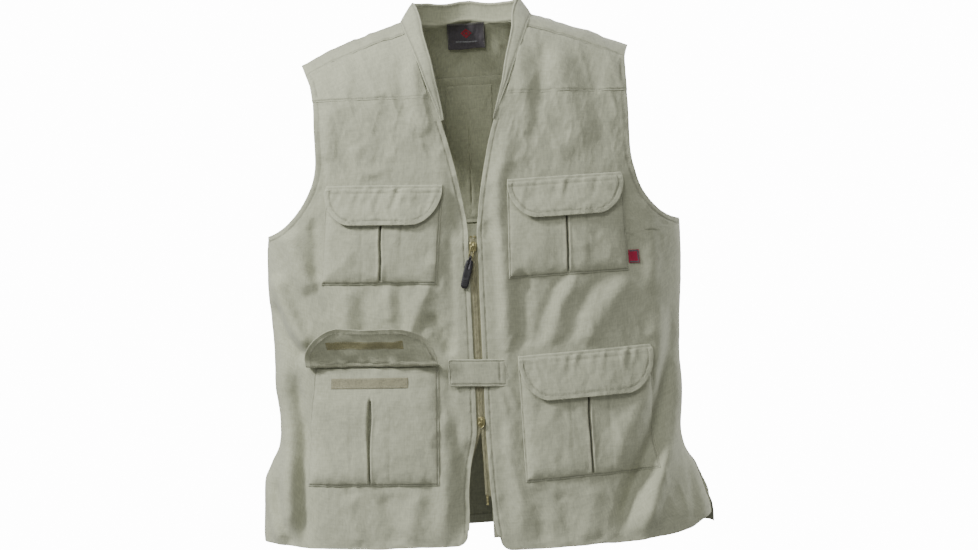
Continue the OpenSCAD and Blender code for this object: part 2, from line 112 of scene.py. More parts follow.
def make_stage():
    """Pale floor that curves up all round into a white backdrop. Three lamps and the world light the vest."""
    turn = [2 * math.pi * k / STAGE_SIDES for k in range(STAGE_SIDES)]
    verts = [(r * math.cos(a), r * math.sin(a), z) for r, z in STAGE_PROFILE for a in turn]
    faces = [tuple(range(STAGE_SIDES))] + ring_faces(len(STAGE_PROFILE), STAGE_SIDES)
    mesh = bpy.data.meshes.new("stage")
    mesh.from_pydata(verts, [], faces)
    mesh.polygons.foreach_set("use_smooth", [True] * len(faces))
    stage = bpy.data.objects.new("stage", mesh)
    bpy.context.scene.collection.objects.link(stage)
    # so bright a backdrop would burn out the vest's back and sides
    stage.visible_diffuse = False
    stage.visible_glossy = False
    paint = bpy.data.materials.new("stage_paint")
    paint.use_nodes = True
    tree = paint.node_tree
    shader = tree.nodes["Principled BSDF"]
    shader.inputs["Base Color"].default_value = (0.3, 0.3, 0.3, 1)
    shader.inputs["Roughness"].default_value = 0.9
    shader.inputs["Emission Color"].default_value = (1, 1, 1, 1)
    split = tree.nodes.new("ShaderNodeSeparateXYZ")
    tree.links.new(tree.nodes.new("ShaderNodeTexCoord").outputs["Object"], split.inputs[0])
    glow = tree.nodes.new("ShaderNodeMapRange")
    glow.inputs["From Min"].default_value = -2.29
    glow.inputs["From Max"].default_value = -1.98
    glow.inputs["To Min"].default_value = FLOOR_GLOW
    glow.inputs["To Max"].default_value = STAGE_GLOW
    tree.links.new(split.outputs[2], glow.inputs["Value"])
    tree.links.new(glow.outputs[0], shader.inputs["Emission Strength"])
    mesh.materials.append(paint)
    world = bpy.data.worlds.new("world")
    bpy.context.scene.world = world
    world.use_nodes = True
    world.node_tree.nodes["Background"].inputs["Color"].default_value = (1, 1, 1, 1)
    world.node_tree.nodes["Background"].inputs["Strength"].default_value = WORLD_LIGHT
    area_light("key", (-2.85, -1.55, 1.95), 0.7, KEY_POWER)
    area_light("front", (-0.8, -2.9, 2.0), 1.2, FRONT_POWER)
    area_light("back", (3.2, 2.0, 0.6), 1.6, BACK_POWER)


make_camera()
make_stage()

# ---------------------------------------------------------------- numbers and curves


def lerp(a, b, t):
    return a + (b - a) * t


def ease(t):
    t = np.clip(t, 0.0, 1.0)
    return t * t * (3 - 2 * t)


def unit(v):
    return v / np.maximum(np.linalg.norm(v, axis=-1, keepdims=True), 1e-9)


def curve(points, at):
    """Smooth curve through (position, value) points, flat past its ends."""
    p = np.array(sorted(points), float)
    x = p[:, 0]
    y = p[:, 1]
    at = np.clip(np.asarray(at, float), x[0], x[-1])
    slope = np.diff(y) / np.diff(x)
    tangent = np.zeros(len(x))
    for i in range(1, len(x) - 1):
        if slope[i - 1] * slope[i] > 0:
            tangent[i] = 2 * slope[i - 1] * slope[i] / (slope[i - 1] + slope[i])
    tangent[0] = slope[0]
    tangent[-1] = slope[-1]
    k = np.clip(np.searchsorted(x, at) - 1, 0, len(x) - 2)
    h = x[k + 1] - x[k]
    t = (at - x[k]) / h
    return ((1 + 2 * t) * (1 - t) ** 2 * y[k] + t * (1 - t) ** 2 * h * tangent[k]
            + t * t * (3 - 2 * t) * y[k + 1] + t * t * (t - 1) * h * tangent[k + 1])


def smooth_line(points, count=16):
    """Catmull-Rom line through a few points."""
    p = np.array(points, float)
    if len(p) == 2:
        return p[0] + (p[1] - p[0]) * np.linspace(0, 1, 4)[:, None]
    p = np.vstack([2 * p[0] - p[1], p, 2 * p[-1] - p[-2]])
    out = []
    spans = len(p) - 3
    for s in np.linspace(0, spans, count):
        i = min(int(s), spans - 1)
        t = s - i
        a, b, c, d = p[i:i + 4]
        out.append(0.5 * (2 * b + (c - a) * t + (2 * a - 5 * b + 4 * c - d) * t * t
                          + (3 * b - a - 3 * c + d) * t ** 3))
    return np.array(out)


def walk(line):
    """Distance along a line of points to each of them."""
    return np.concatenate([[0], np.cumsum(np.linalg.norm(np.diff(line, axis=0), axis=1))])


def at_distances(line, way, at):
    """Points of a line at some distances along it, where way is the distance to each of its own points."""
    return np.stack([np.interp(at, way, line[:, k]) for k in range(3)], axis=-1)


def resample(line, step):
    line = np.asarray(line, float)
    way = walk(line)
    return at_distances(line, way, np.linspace(0, way[-1], max(2, int(way[-1] / step) + 1)))


NOISE_TABLE = np.random.default_rng(7).uniform(-1, 1, (8, 64, 64))


def noise(x, y, layer=0):
    """Smooth noise from -1 to 1 with features one unit across."""
    table = NOISE_TABLE[layer % 8]
    x, y = np.broadcast_arrays(np.asarray(x, float) + 17.3 * layer, np.asarray(y, float) + 9.1 * layer)
    i = np.floor(x).astype(int)
    j = np.floor(y).astype(int)
    u = x - i
    v = y - j
    u = u * u * u * (u * (6 * u - 15) + 10)
    v = v * v * v * (v * (6 * v - 15) + 10)
    a = table[i % 64, j % 64]
    b = table[(i + 1) % 64, j % 64]
    c = table[i % 64, (j + 1) % 64]
    d = table[(i + 1) % 64, (j + 1) % 64]
    return lerp(lerp(a, b, u), lerp(c, d, u), v)


def box_mm(node):
    low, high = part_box(node)
    return np.array(low) / MM, np.array(high) / MM


# ---------------------------------------------------------------- the body's surface, as in the CAD

front_box = box_mm("left_front_panel")
back_box = box_mm("back_panel")
FRONT_DEPTH = -front_box[0][1] - 0.4
BACK_DEPTH = 100
WAIST_BACK_DEPTH = 92
CHEST_HALF_W = 277
SQUARENESS = 2.4
NECK_HALF_W = 88
NECK_POINT_Z = -6
TIP_Z = -56
SHOULDER_HALF_W = 220
SHOULDER_ROUND = 120
ARMPIT_Z = -288
ARMHOLE_HALF_W = 206
ARMHOLE_TURN_Z = -190
ARMHOLE_POWER = 1.82
ARMHOLE_SHIFT = {-1: -4.5, 1: 5.5}
RIDGE_SLOPE = 0.29
FRONT_YOKE_Z = front_box[1][2]
BACK_YOKE_Z = back_box[1][2]
FORWARD_SEAM = 22
BAND_END_Z = -150
BACK_HEM_Z = back_box[0][2]
FRONT_HEM_Z = front_box[0][2]
CLOTH = 0.9  # thickness of a cloth piece

SIDE_SHAPE = {  # half width by height: the wearer's right and left sides aren't quite alike
    -1: [(-705, 298), (-683, 298.5), (-643, 296), (-602, 289), (-567, 272), (-530, 266), (-481, 271),
         (-420, 275.5), (-360, 279), (-319, 278), (-286, 276)],
    1: [(-705, 303), (-675, 302), (-650, 294), (-623, 285), (-590, 271), (-560, 264), (-507, 268),
        (-426, 275), (-345, 278), (-283, 279)],
}
V_EDGE = [(-302, 6), (-260, 10.5), (-208, 20), (BAND_END_Z, 35), (-110, 51), (-93, 57), (-36, 78), (-6, 88)]
FRONT_EDGE = {  # distance of the front edge from the middle, by height
    -1: [(-705, 24), (-665, 21), (-640, 20.5), (-605, 17), (-552, 6.2), (-540, 6)] + V_EDGE,
    1: [(-705, 18), (-665, 11), (-605, 7.5), (-552, 6), (-540, 6)] + V_EDGE,
}


def half_w(x, z):
    """Half width of the body at a height, on the side x is on."""
    z = np.asarray(z, float)
    return np.where(np.asarray(x) < 0, curve(SIDE_SHAPE[-1], z), curve(SIDE_SHAPE[1], z))


def ridge(x):
    """Height of the shoulders' ridge."""
    out = np.abs(x) - NECK_HALF_W
    reach = SHOULDER_HALF_W - NECK_HALF_W
    fall = NECK_POINT_Z - TIP_Z - RIDGE_SLOPE * reach
    return NECK_POINT_Z - RIDGE_SLOPE * out - fall * (out / reach) * np.abs(out / reach)


def depth_at(side, z):
    """Distance of the front or the back from the plane through the ridge."""
    if side < 0:
        return np.full(np.shape(z), float(FRONT_DEPTH))
    return curve([(BACK_HEM_Z, BACK_DEPTH + 4), (-560, WAIST_BACK_DEPTH), (ARMPIT_Z, BACK_DEPTH)], z)


def girth(x, z):
    """Depth of the body's section at x, as a share of its depth in the middle."""
    share = np.minimum(1.0, np.abs(x) / half_w(x, z))
    return np.maximum(0.0, 1 - share ** SQUARENESS) ** (1 / SQUARENESS)


def on_body(side, x, z):
    """Point on the body's plain surface."""
    drop = np.clip((ridge(x) - z) / SHOULDER_ROUND, 0, 1)
    crown = np.sqrt(np.maximum(0.0, 1 - (1 - drop) ** 2))
    y = side * (0.1 + depth_at(side, z) * girth(x, z) * crown)
    return np.stack(np.broadcast_arrays(x, y, z), axis=-1).astype(float)


def inside_out(p, side):
    """Grows from 0 on the body's surface outwards; its slope is the surface's normal."""
    x = p[..., 0]
    y = p[..., 1]
    z = p[..., 2]
    depth = depth_at(side, z)
    drop = np.minimum(1.0, (ridge(x) - z) / SHOULDER_ROUND)
    share = np.abs(x) / half_w(x, z)
    body = share ** SQUARENESS + (np.abs(y) / depth) ** SQUARENESS
    shoulder = (y / (depth * np.maximum(girth(x, z), 0.2))) ** 2 + (1 - drop) ** 2
    # Where the two forms meet, both are 1 on the surface, and their slopes are brought to one scale
    return np.where(drop < 1, shoulder * SQUARENESS / 2, body + SQUARENESS / 2 - 1)


def body_normal(p, side):
    e = 0.4
    slope = [inside_out(p + step, side) - inside_out(p - step, side) for step in e * np.eye(3)]
    return unit(np.stack(slope, axis=-1))


def angle_of(x, z):
    """Angle round the body's section, from 0 in the middle to a right angle at its side."""
    return np.sign(x) * np.arcsin(np.minimum(1.0, np.abs(x) / half_w(x, z)) ** (SQUARENESS / 2))


def x_at(angle, z):
    side = np.where(angle < 0, -1.0, 1.0)
    return side * half_w(side, z) * np.abs(np.sin(angle)) ** (2 / SQUARENESS)


def outer_x(side, z):
    """Half width at the outer edge of a panel: the armhole, and the side seam below it."""
    z = np.asarray(z, float)
    under = np.clip((ARMHOLE_TURN_Z - z) / (ARMHOLE_TURN_Z - ARMPIT_Z), 0, 1)
    curved = lerp(CHEST_HALF_W, ARMHOLE_HALF_W, (1 - under ** ARMHOLE_POWER) ** (1 / ARMHOLE_POWER))
    tip = np.clip((z + 130) / (130 + TIP_Z), 0, 1) ** 2.5
    upper = lerp(ARMHOLE_HALF_W, SHOULDER_HALF_W, tip)
    shift = ARMHOLE_SHIFT[side] * ease((z + 284) / 70) * ease((-66 - z) / 50)
    across = np.where(z < ARMHOLE_TURN_Z, curved, upper) + shift
    return np.where(z <= ARMPIT_Z, half_w(side, z), across)


# ---------------------------------------------------------------- folds

# Soft folds of the front: height (a ridge is positive, a valley negative), half width, and where it runs
FRONT_FOLDS = [
    # the wearer's right: armhole, armpit and side
    (-3.0, 8, [(-197, -110), (-193, -170), (-192, -215), (-204, -250)]),
    (5.0, 13, [(-244, -280), (-234, -320), (-215, -368)]),
    (-4.5, 9, [(-206, -262), (-207, -310), (-206, -352)]),
    (8.0, 11, [(-266, -335), (-256, -368), (-240, -408), (-219, -440)]),
    (-10, 8, [(-272, -370), (-257, -418), (-228, -456)]),
    (-8.5, 10, [(-252, -462), (-238, -515), (-236, -570), (-240, -632), (-240, -700)]),
    (8.0, 15, [(-262, -430), (-263, -500), (-254, -560), (-256, -622), (-262, -700)]),
    (7.0, 9, [(-292, -596), (-284, -645), (-268, -700)]),
    (-7.0, 8, [(-282, -606), (-272, -655), (-256, -702)]),
    # the wearer's right: chest
    (3.0, 10, [(-183, -118), (-183, -196)]),
    (-2.6, 17, [(-160, -120), (-132, -168), (-120, -214)]),
    (2.6, 13, [(-146, -172), (-128, -224)]),
    (3.6, 11, [(-70, -60), (-66, -110), (-54, -170)]),
    (-3.0, 9, [(-88, -56), (-84, -104), (-76, -150)]),
    (4.0, 10, [(-42, -196), (-38, -240), (-42, -300), (-54, -362)]),
    # the wearer's right: between the pockets, and beside the zip
    (4.5, 10, [(-54, -352), (-74, -392), (-92, -440)]),
    (-3.4, 8, [(-97, -350), (-98, -400), (-100, -462)]),
    (3.0, 7, [(-112, -360), (-113, -410)]),
    (-2.6, 9, [(-141, -356), (-146, -400), (-150, -440)]),
    (3.4, 10, [(-165, -358), (-172, -430)]),
    (-6.0, 13, [(-22, -222), (-17, -300), (-17, -370), (-20, -448)]),
    (-6.5, 11, [(-66, -398), (-44, -428), (-30, -455)]),
    (2.0, 6, [(-27, -430), (-26, -458)]),
    # the wearer's right: below
    (-6.0, 15, [(-10, -520), (-22, -600), (-30, -700)]),
    (4.5, 12, [(-50, -520), (-47, -600), (-56, -700)]),
    (-3.0, 13, [(-126, -628), (-118, -700)]),
    (3.2, 11, [(-78, -626), (-92, -656), (-98, -700)]),
    (2.6, 12, [(-176, -628), (-170, -700)]),
    # the wearer's left: chest
    (3.2, 12, [(62, -40), (72, -110), (82, -176)]),
    (-2.8, 10, [(98, -50), (94, -110), (84, -190)]),
    (3.4, 14, [(112, -46), (126, -110), (142, -170), (112, -196)]),
    (-2.2, 14, [(150, -60), (168, -130), (172, -200)]),
    (5.5, 12, [(54, -150), (45, -206), (36, -260), (38, -330), (40, -400), (35, -456)]),
    (-5.5, 8, [(26, -262), (18, -320), (14, -380), (17, -446)]),
    (-4.0, 12, [(58, -345), (60, -400), (56, -458)]),
    (4.0, 14, [(226, -250), (236, -310), (230, -390)]),
    (-3.2, 8, [(205, -236), (207, -300), (209, -354)]),
    # the wearer's left: between the pockets
    (-3.2, 8, [(74, -456), (90, -402), (112, -356)]),
    (4.2, 9, [(92, -458), (109, -402), (134, -354)]),
    (-3.2, 9, [(114, -458), (136, -404), (164, -360)]),
    (4.2, 14, [(134, -462), (164, -408), (204, -362)]),
    # the wearer's left: the long drape from the waist to the hem
    (4.5, 15, [(238, -396), (234, -452), (216, -508), (190, -560), (174, -606)]),
    (-8.5, 13, [(272, -362), (263, -430), (252, -490), (236, -546), (212, -602), (190, -652), (176, -700)]),
    (8.5, 14, [(276, -452), (264, -534), (243, -598), (222, -652), (206, -704)]),
    (4.0, 8, [(282, -590), (291, -650), (294, -696)]),
    (-4.0, 7, [(270, -598), (278, -650), (278, -700)]),
    # the wearer's left: below
    (4.0, 12, [(34, -530), (40, -600), (50, -700)]),
    (-3.2, 11, [(66, -624), (75, -704)]),
    (3.0, 13, [(142, -630), (137, -704)]),
    (-2.6, 12, [(100, -634), (106, -704)]),
    # around the waist tab
    (2.4, 5, [(-10, -500), (-20, -540)]),
    (2.6, 5, [(22, -500), (34, -536)]),
    (2.4, 4, [(34, -500), (52, -524)]),
    (-2.2, 4, [(28, -502), (42, -532)]),
    (2.6, 5, [(20, -456), (30, -418)]),
    (2.2, 4, [(34, -456), (50, -430)]),
]

BACK_FOLDS = [
    (5, 16, [(-170, -240), (-190, -420), (-205, -700)]),
    (-5, 16, [(-215, -280), (-232, -450), (-240, -700)]),
    (6, 18, [(-92, -420), (-100, -560), (-112, -700)]),
    (-5, 17, [(-45, -440), (-52, -580), (-60, -700)]),
    (5, 16, [(18, -470), (12, -600), (8, -700)]),
    (-5, 17, [(74, -430), (82, -570), (92, -700)]),
    (6, 17, [(140, -400), (152, -540), (160, -700)]),
    (-5, 15, [(200, -300), (216, -460), (226, -700)]),
    (5, 14, [(238, -300), (252, -440), (262, -700)]),
    (-3, 12, [(-150, -100), (-120, -180), (-60, -250)]),
    (3, 12, [(150, -110), (110, -180), (60, -250)]),
]


def fold_height(folds, x, z):
    """Height of the folds at each point. Wide folds near the sides are raised, and narrow ones lowered."""
    total = np.zeros(np.broadcast(x, z).shape)
    for height, width, points in folds:
        line = smooth_line(points)
        outer = ease((np.abs(line[:, 0]).mean() - 180) / 30)
        wide = lerp(1.25, 2.0 if line[0, 0] < 0 else 1.8, outer)
        height = height * lerp(0.75, wide, ease((width - 5) / 8))
        reach = 3 * width
        near = ((x > line[:, 0].min() - reach) & (x < line[:, 0].max() + reach)
                & (z > line[:, 1].min() - reach) & (z < line[:, 1].max() + reach))
        if not near.any():
            continue
        px = x[near]
        pz = z[near]
        best = np.full(px.shape, 1e9)
        along = np.zeros(px.shape)
        spans = len(line) - 1
        for k in range(spans):
            a = line[k]
            d = line[k + 1] - a
            t = np.clip(((px - a[0]) * d[0] + (pz - a[1]) * d[1]) / (d @ d), 0, 1)
            far = (px - a[0] - t * d[0]) ** 2 + (pz - a[1] - t * d[1]) ** 2
            closer = far < best
            best = np.where(closer, far, best)
            along = np.where(closer, (k + t) / spans, along)
        fade = ease(along / 0.22) * ease((1 - along) / 0.22 + 0.25)
        total[near] += height * fade * np.exp(-best / width ** 2)
    return total


def calm(x, z):
    """1 in open cloth and less on the flaps' hinges and beside the zip, which stay near the CAD."""
    keep = np.ones(np.broadcast(x, z).shape)
    for pocket in POCKETS.values():
        low_x = pocket["corners"][:, 0].min()
        high_x = pocket["corners"][:, 0].max()
        seam_z = pocket["corners"][:2, 1].mean()
        inside = ease((x - low_x + 14) / 20) * ease((high_x + 14 - x) / 20)
        inside = inside * ease((z - seam_z + 78) / 26) * ease((seam_z + 22 - z) / 16)
        keep = keep * (1 - 0.62 * inside)
    zipped = ease((z + 590) / 30) * ease((-285 - z) / 30)
    return keep * (1 - 0.98 * zipped * ease((36 - np.abs(x)) / 14))


def folds(side, x, z):
    """Height of the draped cloth over the body's plain surface."""
    x, z = np.broadcast_arrays(np.asarray(x, float), np.asarray(z, float))
    if side > 0:
        # the back takes on the front's folds where they meet, at the side seams and the shoulder ridge
        seam = ease((np.abs(x) / half_w(x, z) - 0.9) / 0.1)
        meet = np.maximum(seam, ease(1 - (ridge(x) - z) / 30))
        return lerp(drape_height(1, x, z), drape_height(-1, x, z), meet)
    return drape_height(-1, x, z)


def drape_height(side, x, z):
    """Large folds, soft waves, creases and a fine ripple."""
    large = fold_height(FRONT_FOLDS if side < 0 else BACK_FOLDS, x, z)
    layer = 0 if side < 0 else 3
    drape = 1.7 * noise(x / 34, z / 80, layer) + 0.7 * noise(x / 17 + z / 90, z / 40, layer + 1)
    crease = 0.9 * (0.5 - np.abs(noise(x / 19 + z / 60, z / 44 - x / 60, layer + 2))) * 2
    crease = crease + 0.36 * (0.5 - np.abs(noise(x / 9 - z / 30, z / 17 + x / 40, layer + 3))) * 2
    fine = 0.22 * noise(x / 3.4, z / 5.0, layer + 4)
    keep = calm(x, z) if side < 0 else 1.0
    top = ease((-20 - z) / 60)
    return (large + drape) * keep * (0.35 + 0.65 * top) + crease * (0.3 + 0.7 * keep) + fine


def settle(p):
    """The vest hangs a little askew: its neck lies to the wearer's left, and that shoulder is higher."""
    p = np.array(p)
    high = ease((p[..., 2] + 190) / 150)
    p[..., 0] += 4.0 * high * ease((150 - np.abs(p[..., 0])) / 60)
    p[..., 2] += 3.5 * high * np.clip(p[..., 0] / 220, -1, 1)
    return p


def place(side, x, z, lift=0.0):
    """Point at a height over the draped front (side -1) or back (side 1)."""
    base = on_body(side, x, z)
    out = body_normal(base, side)
    height = folds(side, base[..., 0], base[..., 2])
    lift = np.broadcast_to(lift, height.shape)
    # folds run in and out, and hardly push the cloth sideways
    return settle(base + out * lift[..., None] + out * [0.35, 1, 1] * height[..., None])


# ---------------------------------------------------------------- materials


def new_material(name, colour, roughness, metallic=0.0):
    """A material with its node tree and shader ready."""
    material = bpy.data.materials.new(name)
    material.use_nodes = True
    shader = material.node_tree.nodes["Principled BSDF"]
    shader.inputs["Base Color"].default_value = (*colour, 1)
    shader.inputs["Roughness"].default_value = roughness
    shader.inputs["Metallic"].default_value = metallic
    return material, material.node_tree, shader


def math_node(tree, operation, a, b=None):
    node = tree.nodes.new("ShaderNodeMath")
    node.operation = operation
    for socket, value in zip(node.inputs, (a, b)):
        if isinstance(value, (int, float)):
            socket.default_value = value
        elif value is not None:
            tree.links.new(value, socket)
    return node.outputs[0]


def scaled(tree, value, factor, plus):
    return math_node(tree, "ADD", math_node(tree, "MULTIPLY", value, factor), plus)


def attribute_node(tree, name):
    node = tree.nodes.new("ShaderNodeAttribute")
    node.attribute_name = name
    return node.outputs["Fac"]


def object_point(tree):
    return tree.nodes.new("ShaderNodeTexCoord").outputs["Object"]


def noise_node(tree, vector, scale, detail=3.0, stretch=(1, 1, 1)):
    mapping = tree.nodes.new("ShaderNodeMapping")
    mapping.inputs["Scale"].default_value = stretch
    tree.links.new(vector, mapping.inputs["Vector"])
    node = tree.nodes.new("ShaderNodeTexNoise")
    node.inputs["Scale"].default_value = scale
    node.inputs["Detail"].default_value = detail
    tree.links.new(mapping.outputs[0], node.inputs["Vector"])
    return node.outputs["Fac"]


def rgb_node(tree, colour):
    node = tree.nodes.new("ShaderNodeRGB")
    node.outputs[0].default_value = (*colour, 1)
    return node.outputs[0]


def tint(tree, colour, factor, low, high):
    """Multiplies a colour by a factor that runs from low to high."""
    span = tree.nodes.new("ShaderNodeMapRange")
    span.inputs["From Min"].default_value = 0.25
    span.inputs["From Max"].default_value = 0.75
    span.inputs["To Min"].default_value = low
    span.inputs["To Max"].default_value = high
    tree.links.new(factor, span.inputs["Value"])
    mix = tree.nodes.new("ShaderNodeVectorMath")
    mix.operation = "SCALE"
    tree.links.new(colour, mix.inputs[0])
    tree.links.new(span.outputs[0], mix.inputs["Scale"])
    return mix.outputs[0]


def blend_colour(tree, factor, a, b):
    mix = tree.nodes.new("ShaderNodeMix")
    mix.data_type = "RGBA"
    tree.links.new(factor, mix.inputs[0])
    for socket, value in ((mix.inputs[6], a), (mix.inputs[7], b)):
        if isinstance(value, tuple):
            socket.default_value = (*value, 1)
        else:
            tree.links.new(value, socket)
    return mix.outputs[2]


def weave_height(tree, pitch):
    """Plain weave: threads that pass over and under each other, one per pitch each way."""
    uv = tree.nodes.new("ShaderNodeUVMap").outputs[0]
    split = tree.nodes.new("ShaderNodeSeparateXYZ")
    tree.links.new(uv, split.inputs[0])
    u = math_node(tree, "MULTIPLY", split.outputs[0], math.pi / pitch)
    v = math_node(tree, "MULTIPLY", split.outputs[1], math.pi / pitch)
    over = math_node(tree, "MULTIPLY", math_node(tree, "SINE", u), math_node(tree, "SINE", v))
    warp = math_node(tree, "ABSOLUTE", math_node(tree, "SINE", u))
    weft = math_node(tree, "ABSOLUTE", math_node(tree, "SINE", v))
    share = scaled(tree, over, 0.5, 0.5)
    rest = math_node(tree, "SUBTRACT", 1.0, share)
    high = math_node(tree, "ADD", math_node(tree, "MULTIPLY", warp, share),
                     math_node(tree, "MULTIPLY", weft, rest))
    return uv, high


def bump(tree, shader, height, strength, distance):
    node = tree.nodes.new("ShaderNodeBump")
    node.inputs["Strength"].default_value = strength
    node.inputs["Distance"].default_value = distance
    tree.links.new(height, node.inputs["Height"])
    tree.links.new(node.outputs[0], shader.inputs["Normal"])


def cloth_material(name, colour, pitch=0.00055, worn=0.12, depth=0.00016, sheen=0.12, hem_dark=1.0):
    """Woven cotton: weave, uneven threads, faint mottling, paler worn edges, and painted shade in stitched
    grooves and pleats.

    hem_dark is the painted shade at the hem, where little light comes in: the colour's factor there, and 1
    leaves it as it is.
    """
    material, tree, shader = new_material(name, colour, 0.92)
    shader.inputs["Sheen Weight"].default_value = sheen
    shader.inputs["Sheen Roughness"].default_value = 0.45
    shader.inputs["Specular IOR Level"].default_value = 0.22
    uv, weave = weave_height(tree, pitch)
    warp_slubs = noise_node(tree, uv, 900, 2, (1, 0.05, 1))
    weft_slubs = noise_node(tree, uv, 900, 2, (0.05, 1, 1))
    mottle = noise_node(tree, uv, 26, 4)
    shade = rgb_node(tree, colour)
    for factor, spread in ((warp_slubs, 0.07), (weft_slubs, 0.05), (mottle, 0.045),
                           (noise_node(tree, uv, 7, 2), 0.03),
                           (noise_node(tree, uv, 420, 2, (1, 0.35, 1)), 0.1),
                           (noise_node(tree, uv, 380, 2, (0.2, 1, 1)), 0.07)):
        shade = tint(tree, shade, factor, 1 - spread, 1 + spread)
    shade = tint(tree, shade, weave, 0.90, 1.04)
    # painted shade: darker towards the bottom, by the object's height
    if hem_dark < 1:
        height = tree.nodes.new("ShaderNodeSeparateXYZ")
        tree.links.new(object_point(tree), height.inputs[0])
        shade = tint(tree, shade, scaled(tree, height.outputs[2], -3.2, -1.35), 1.0, hem_dark)
    # painted shade: the seam attribute darkens stitched grooves, pleats and pressed edges, down to two thirds
    painted_seam_shade = scaled(tree, attribute_node(tree, "seam"), 0.5, 0.25)
    shade = tint(tree, shade, painted_seam_shade, 1.0, 0.66)
    patchy = math_node(tree, "MULTIPLY", noise_node(tree, uv, 160, 3), worn * 2)
    factor = math_node(tree, "MULTIPLY", attribute_node(tree, "wear"), patchy)
    pale = tuple(min(1.0, 1.5 * c + 0.06) for c in colour)
    tree.links.new(blend_colour(tree, factor, shade, pale), shader.inputs["Base Color"])
    tree.links.new(scaled(tree, mottle, 0.16, 0.82), shader.inputs["Roughness"])
    height = math_node(tree, "ADD", weave, math_node(tree, "MULTIPLY", warp_slubs, 0.7))
    height = math_node(tree, "ADD", height, math_node(tree, "MULTIPLY", weft_slubs, 0.5))
    bump(tree, shader, height, 0.55, depth)
    return material


def tape_material(name, colour, cell, depth, sheen):
    """Fastening tape: small loops or hooks on a woven ground."""
    material, tree, shader = new_material(name, colour, 0.8)
    shader.inputs["Sheen Weight"].default_value = sheen
    shader.inputs["Sheen Roughness"].default_value = 0.6
    uv = tree.nodes.new("ShaderNodeUVMap").outputs[0]
    cells = tree.nodes.new("ShaderNodeTexVoronoi")
    cells.inputs["Scale"].default_value = 1 / cell
    tree.links.new(uv, cells.inputs["Vector"])
    spots = cells.outputs["Distance"]
    fuzz = noise_node(tree, uv, 1.6 / cell, 4)
    shade = tint(tree, rgb_node(tree, colour), spots, 1.12, 0.72)
    shade = tint(tree, shade, fuzz, 0.86, 1.14)
    shade = tint(tree, shade, noise_node(tree, uv, 60, 3), 0.93, 1.07)
    tree.links.new(shade, shader.inputs["Base Color"])
    height = math_node(tree, "SUBTRACT", math_node(tree, "MULTIPLY", fuzz, 0.8), spots)
    bump(tree, shader, height, 0.8, depth)
    return material


def metal_material(name, colour):
    """Antique plating: dark in the hollows, rubbed bright in patches."""
    material, tree, shader = new_material(name, colour, 0.4, 1.0)
    at = object_point(tree)
    patina = noise_node(tree, at, 420, 5)
    scratches = noise_node(tree, at, 900, 3, (1, 1, 0.12))
    shade = tint(tree, rgb_node(tree, colour), patina, 0.55, 1.4)
    tree.links.new(tint(tree, shade, scratches, 0.9, 1.1), shader.inputs["Base Color"])
    tree.links.new(scaled(tree, patina, 0.35, 0.22), shader.inputs["Roughness"])
    bump(tree, shader, scratches, 0.25, 0.00004)
    return material


def plastic_material(name, colour, roughness, grain, depth):
    """Moulded nylon or rubber with a fine grain and scuffs."""
    material, tree, shader = new_material(name, colour, roughness)
    at = object_point(tree)
    fine = noise_node(tree, at, grain, 3)
    scuff = noise_node(tree, at, 260, 4)
    shade = tint(tree, rgb_node(tree, colour), scuff, 0.8, 1.35)
    tree.links.new(tint(tree, shade, fine, 0.92, 1.08), shader.inputs["Base Color"])
    tree.links.new(scaled(tree, scuff, 0.25, roughness - 0.12), shader.inputs["Roughness"])
    bump(tree, shader, fine, 0.5, depth)
    return material


SAGE = (0.335, 0.345, 0.25)
# SAGE_IN, the inside's colour, is a copy of SAGE set a little lighter to stand in for the light that reaches
# the inside: painted light
SAGE_IN = (0.35, 0.36, 0.255)
MATERIALS = {
    "cloth": cloth_material("sage_cotton", SAGE),
    "cloth_inside": cloth_material("sage_cotton_inside", SAGE_IN, worn=0.05, hem_dark=0.72),
    "thread": cloth_material("sewing_thread", (0.37, 0.375, 0.28), pitch=0.0003, worn=0, sheen=0.2),
    "loop_tape": tape_material("loop_tape", (0.218, 0.208, 0.12), 0.0011, 0.0005, 0.4),
    "hook_tape": tape_material("hook_tape", (0.225, 0.211, 0.099), 0.0009, 0.0006, 0.1),
    "zip_tape": cloth_material("zip_tape", (0.245, 0.24, 0.15), pitch=0.0004, worn=0.05),
    "zip_coil": plastic_material("zip_coil", (0.3, 0.288, 0.175), 0.42, 3000, 0.00002),
    "antique_brass": metal_material("antique_brass", (0.36, 0.33, 0.17)),
    "puller": plastic_material("puller_rubber", (0.01, 0.0095, 0.011), 0.55, 2600, 0.00003),
    "puller_inset": plastic_material("puller_inset", (0.04, 0.037, 0.042), 0.5, 2600, 0.00003),
    "neck_label": cloth_material("black_damask", (0.084, 0.077, 0.086), 0.0003, 0.1, 0.00008),
    "label_red": cloth_material("red_weft", (0.36, 0.02, 0.035), 0.0003, 0.1, 0.00008),
    "label_grey": cloth_material("grey_weft", (0.24, 0.25, 0.26), 0.0003, 0.1, 0.00008),
    "side_tag": cloth_material("red_damask", (0.275, 0.016, 0.044), 0.0003, 0.15, 0.00008),
}

# ---------------------------------------------------------------- meshes


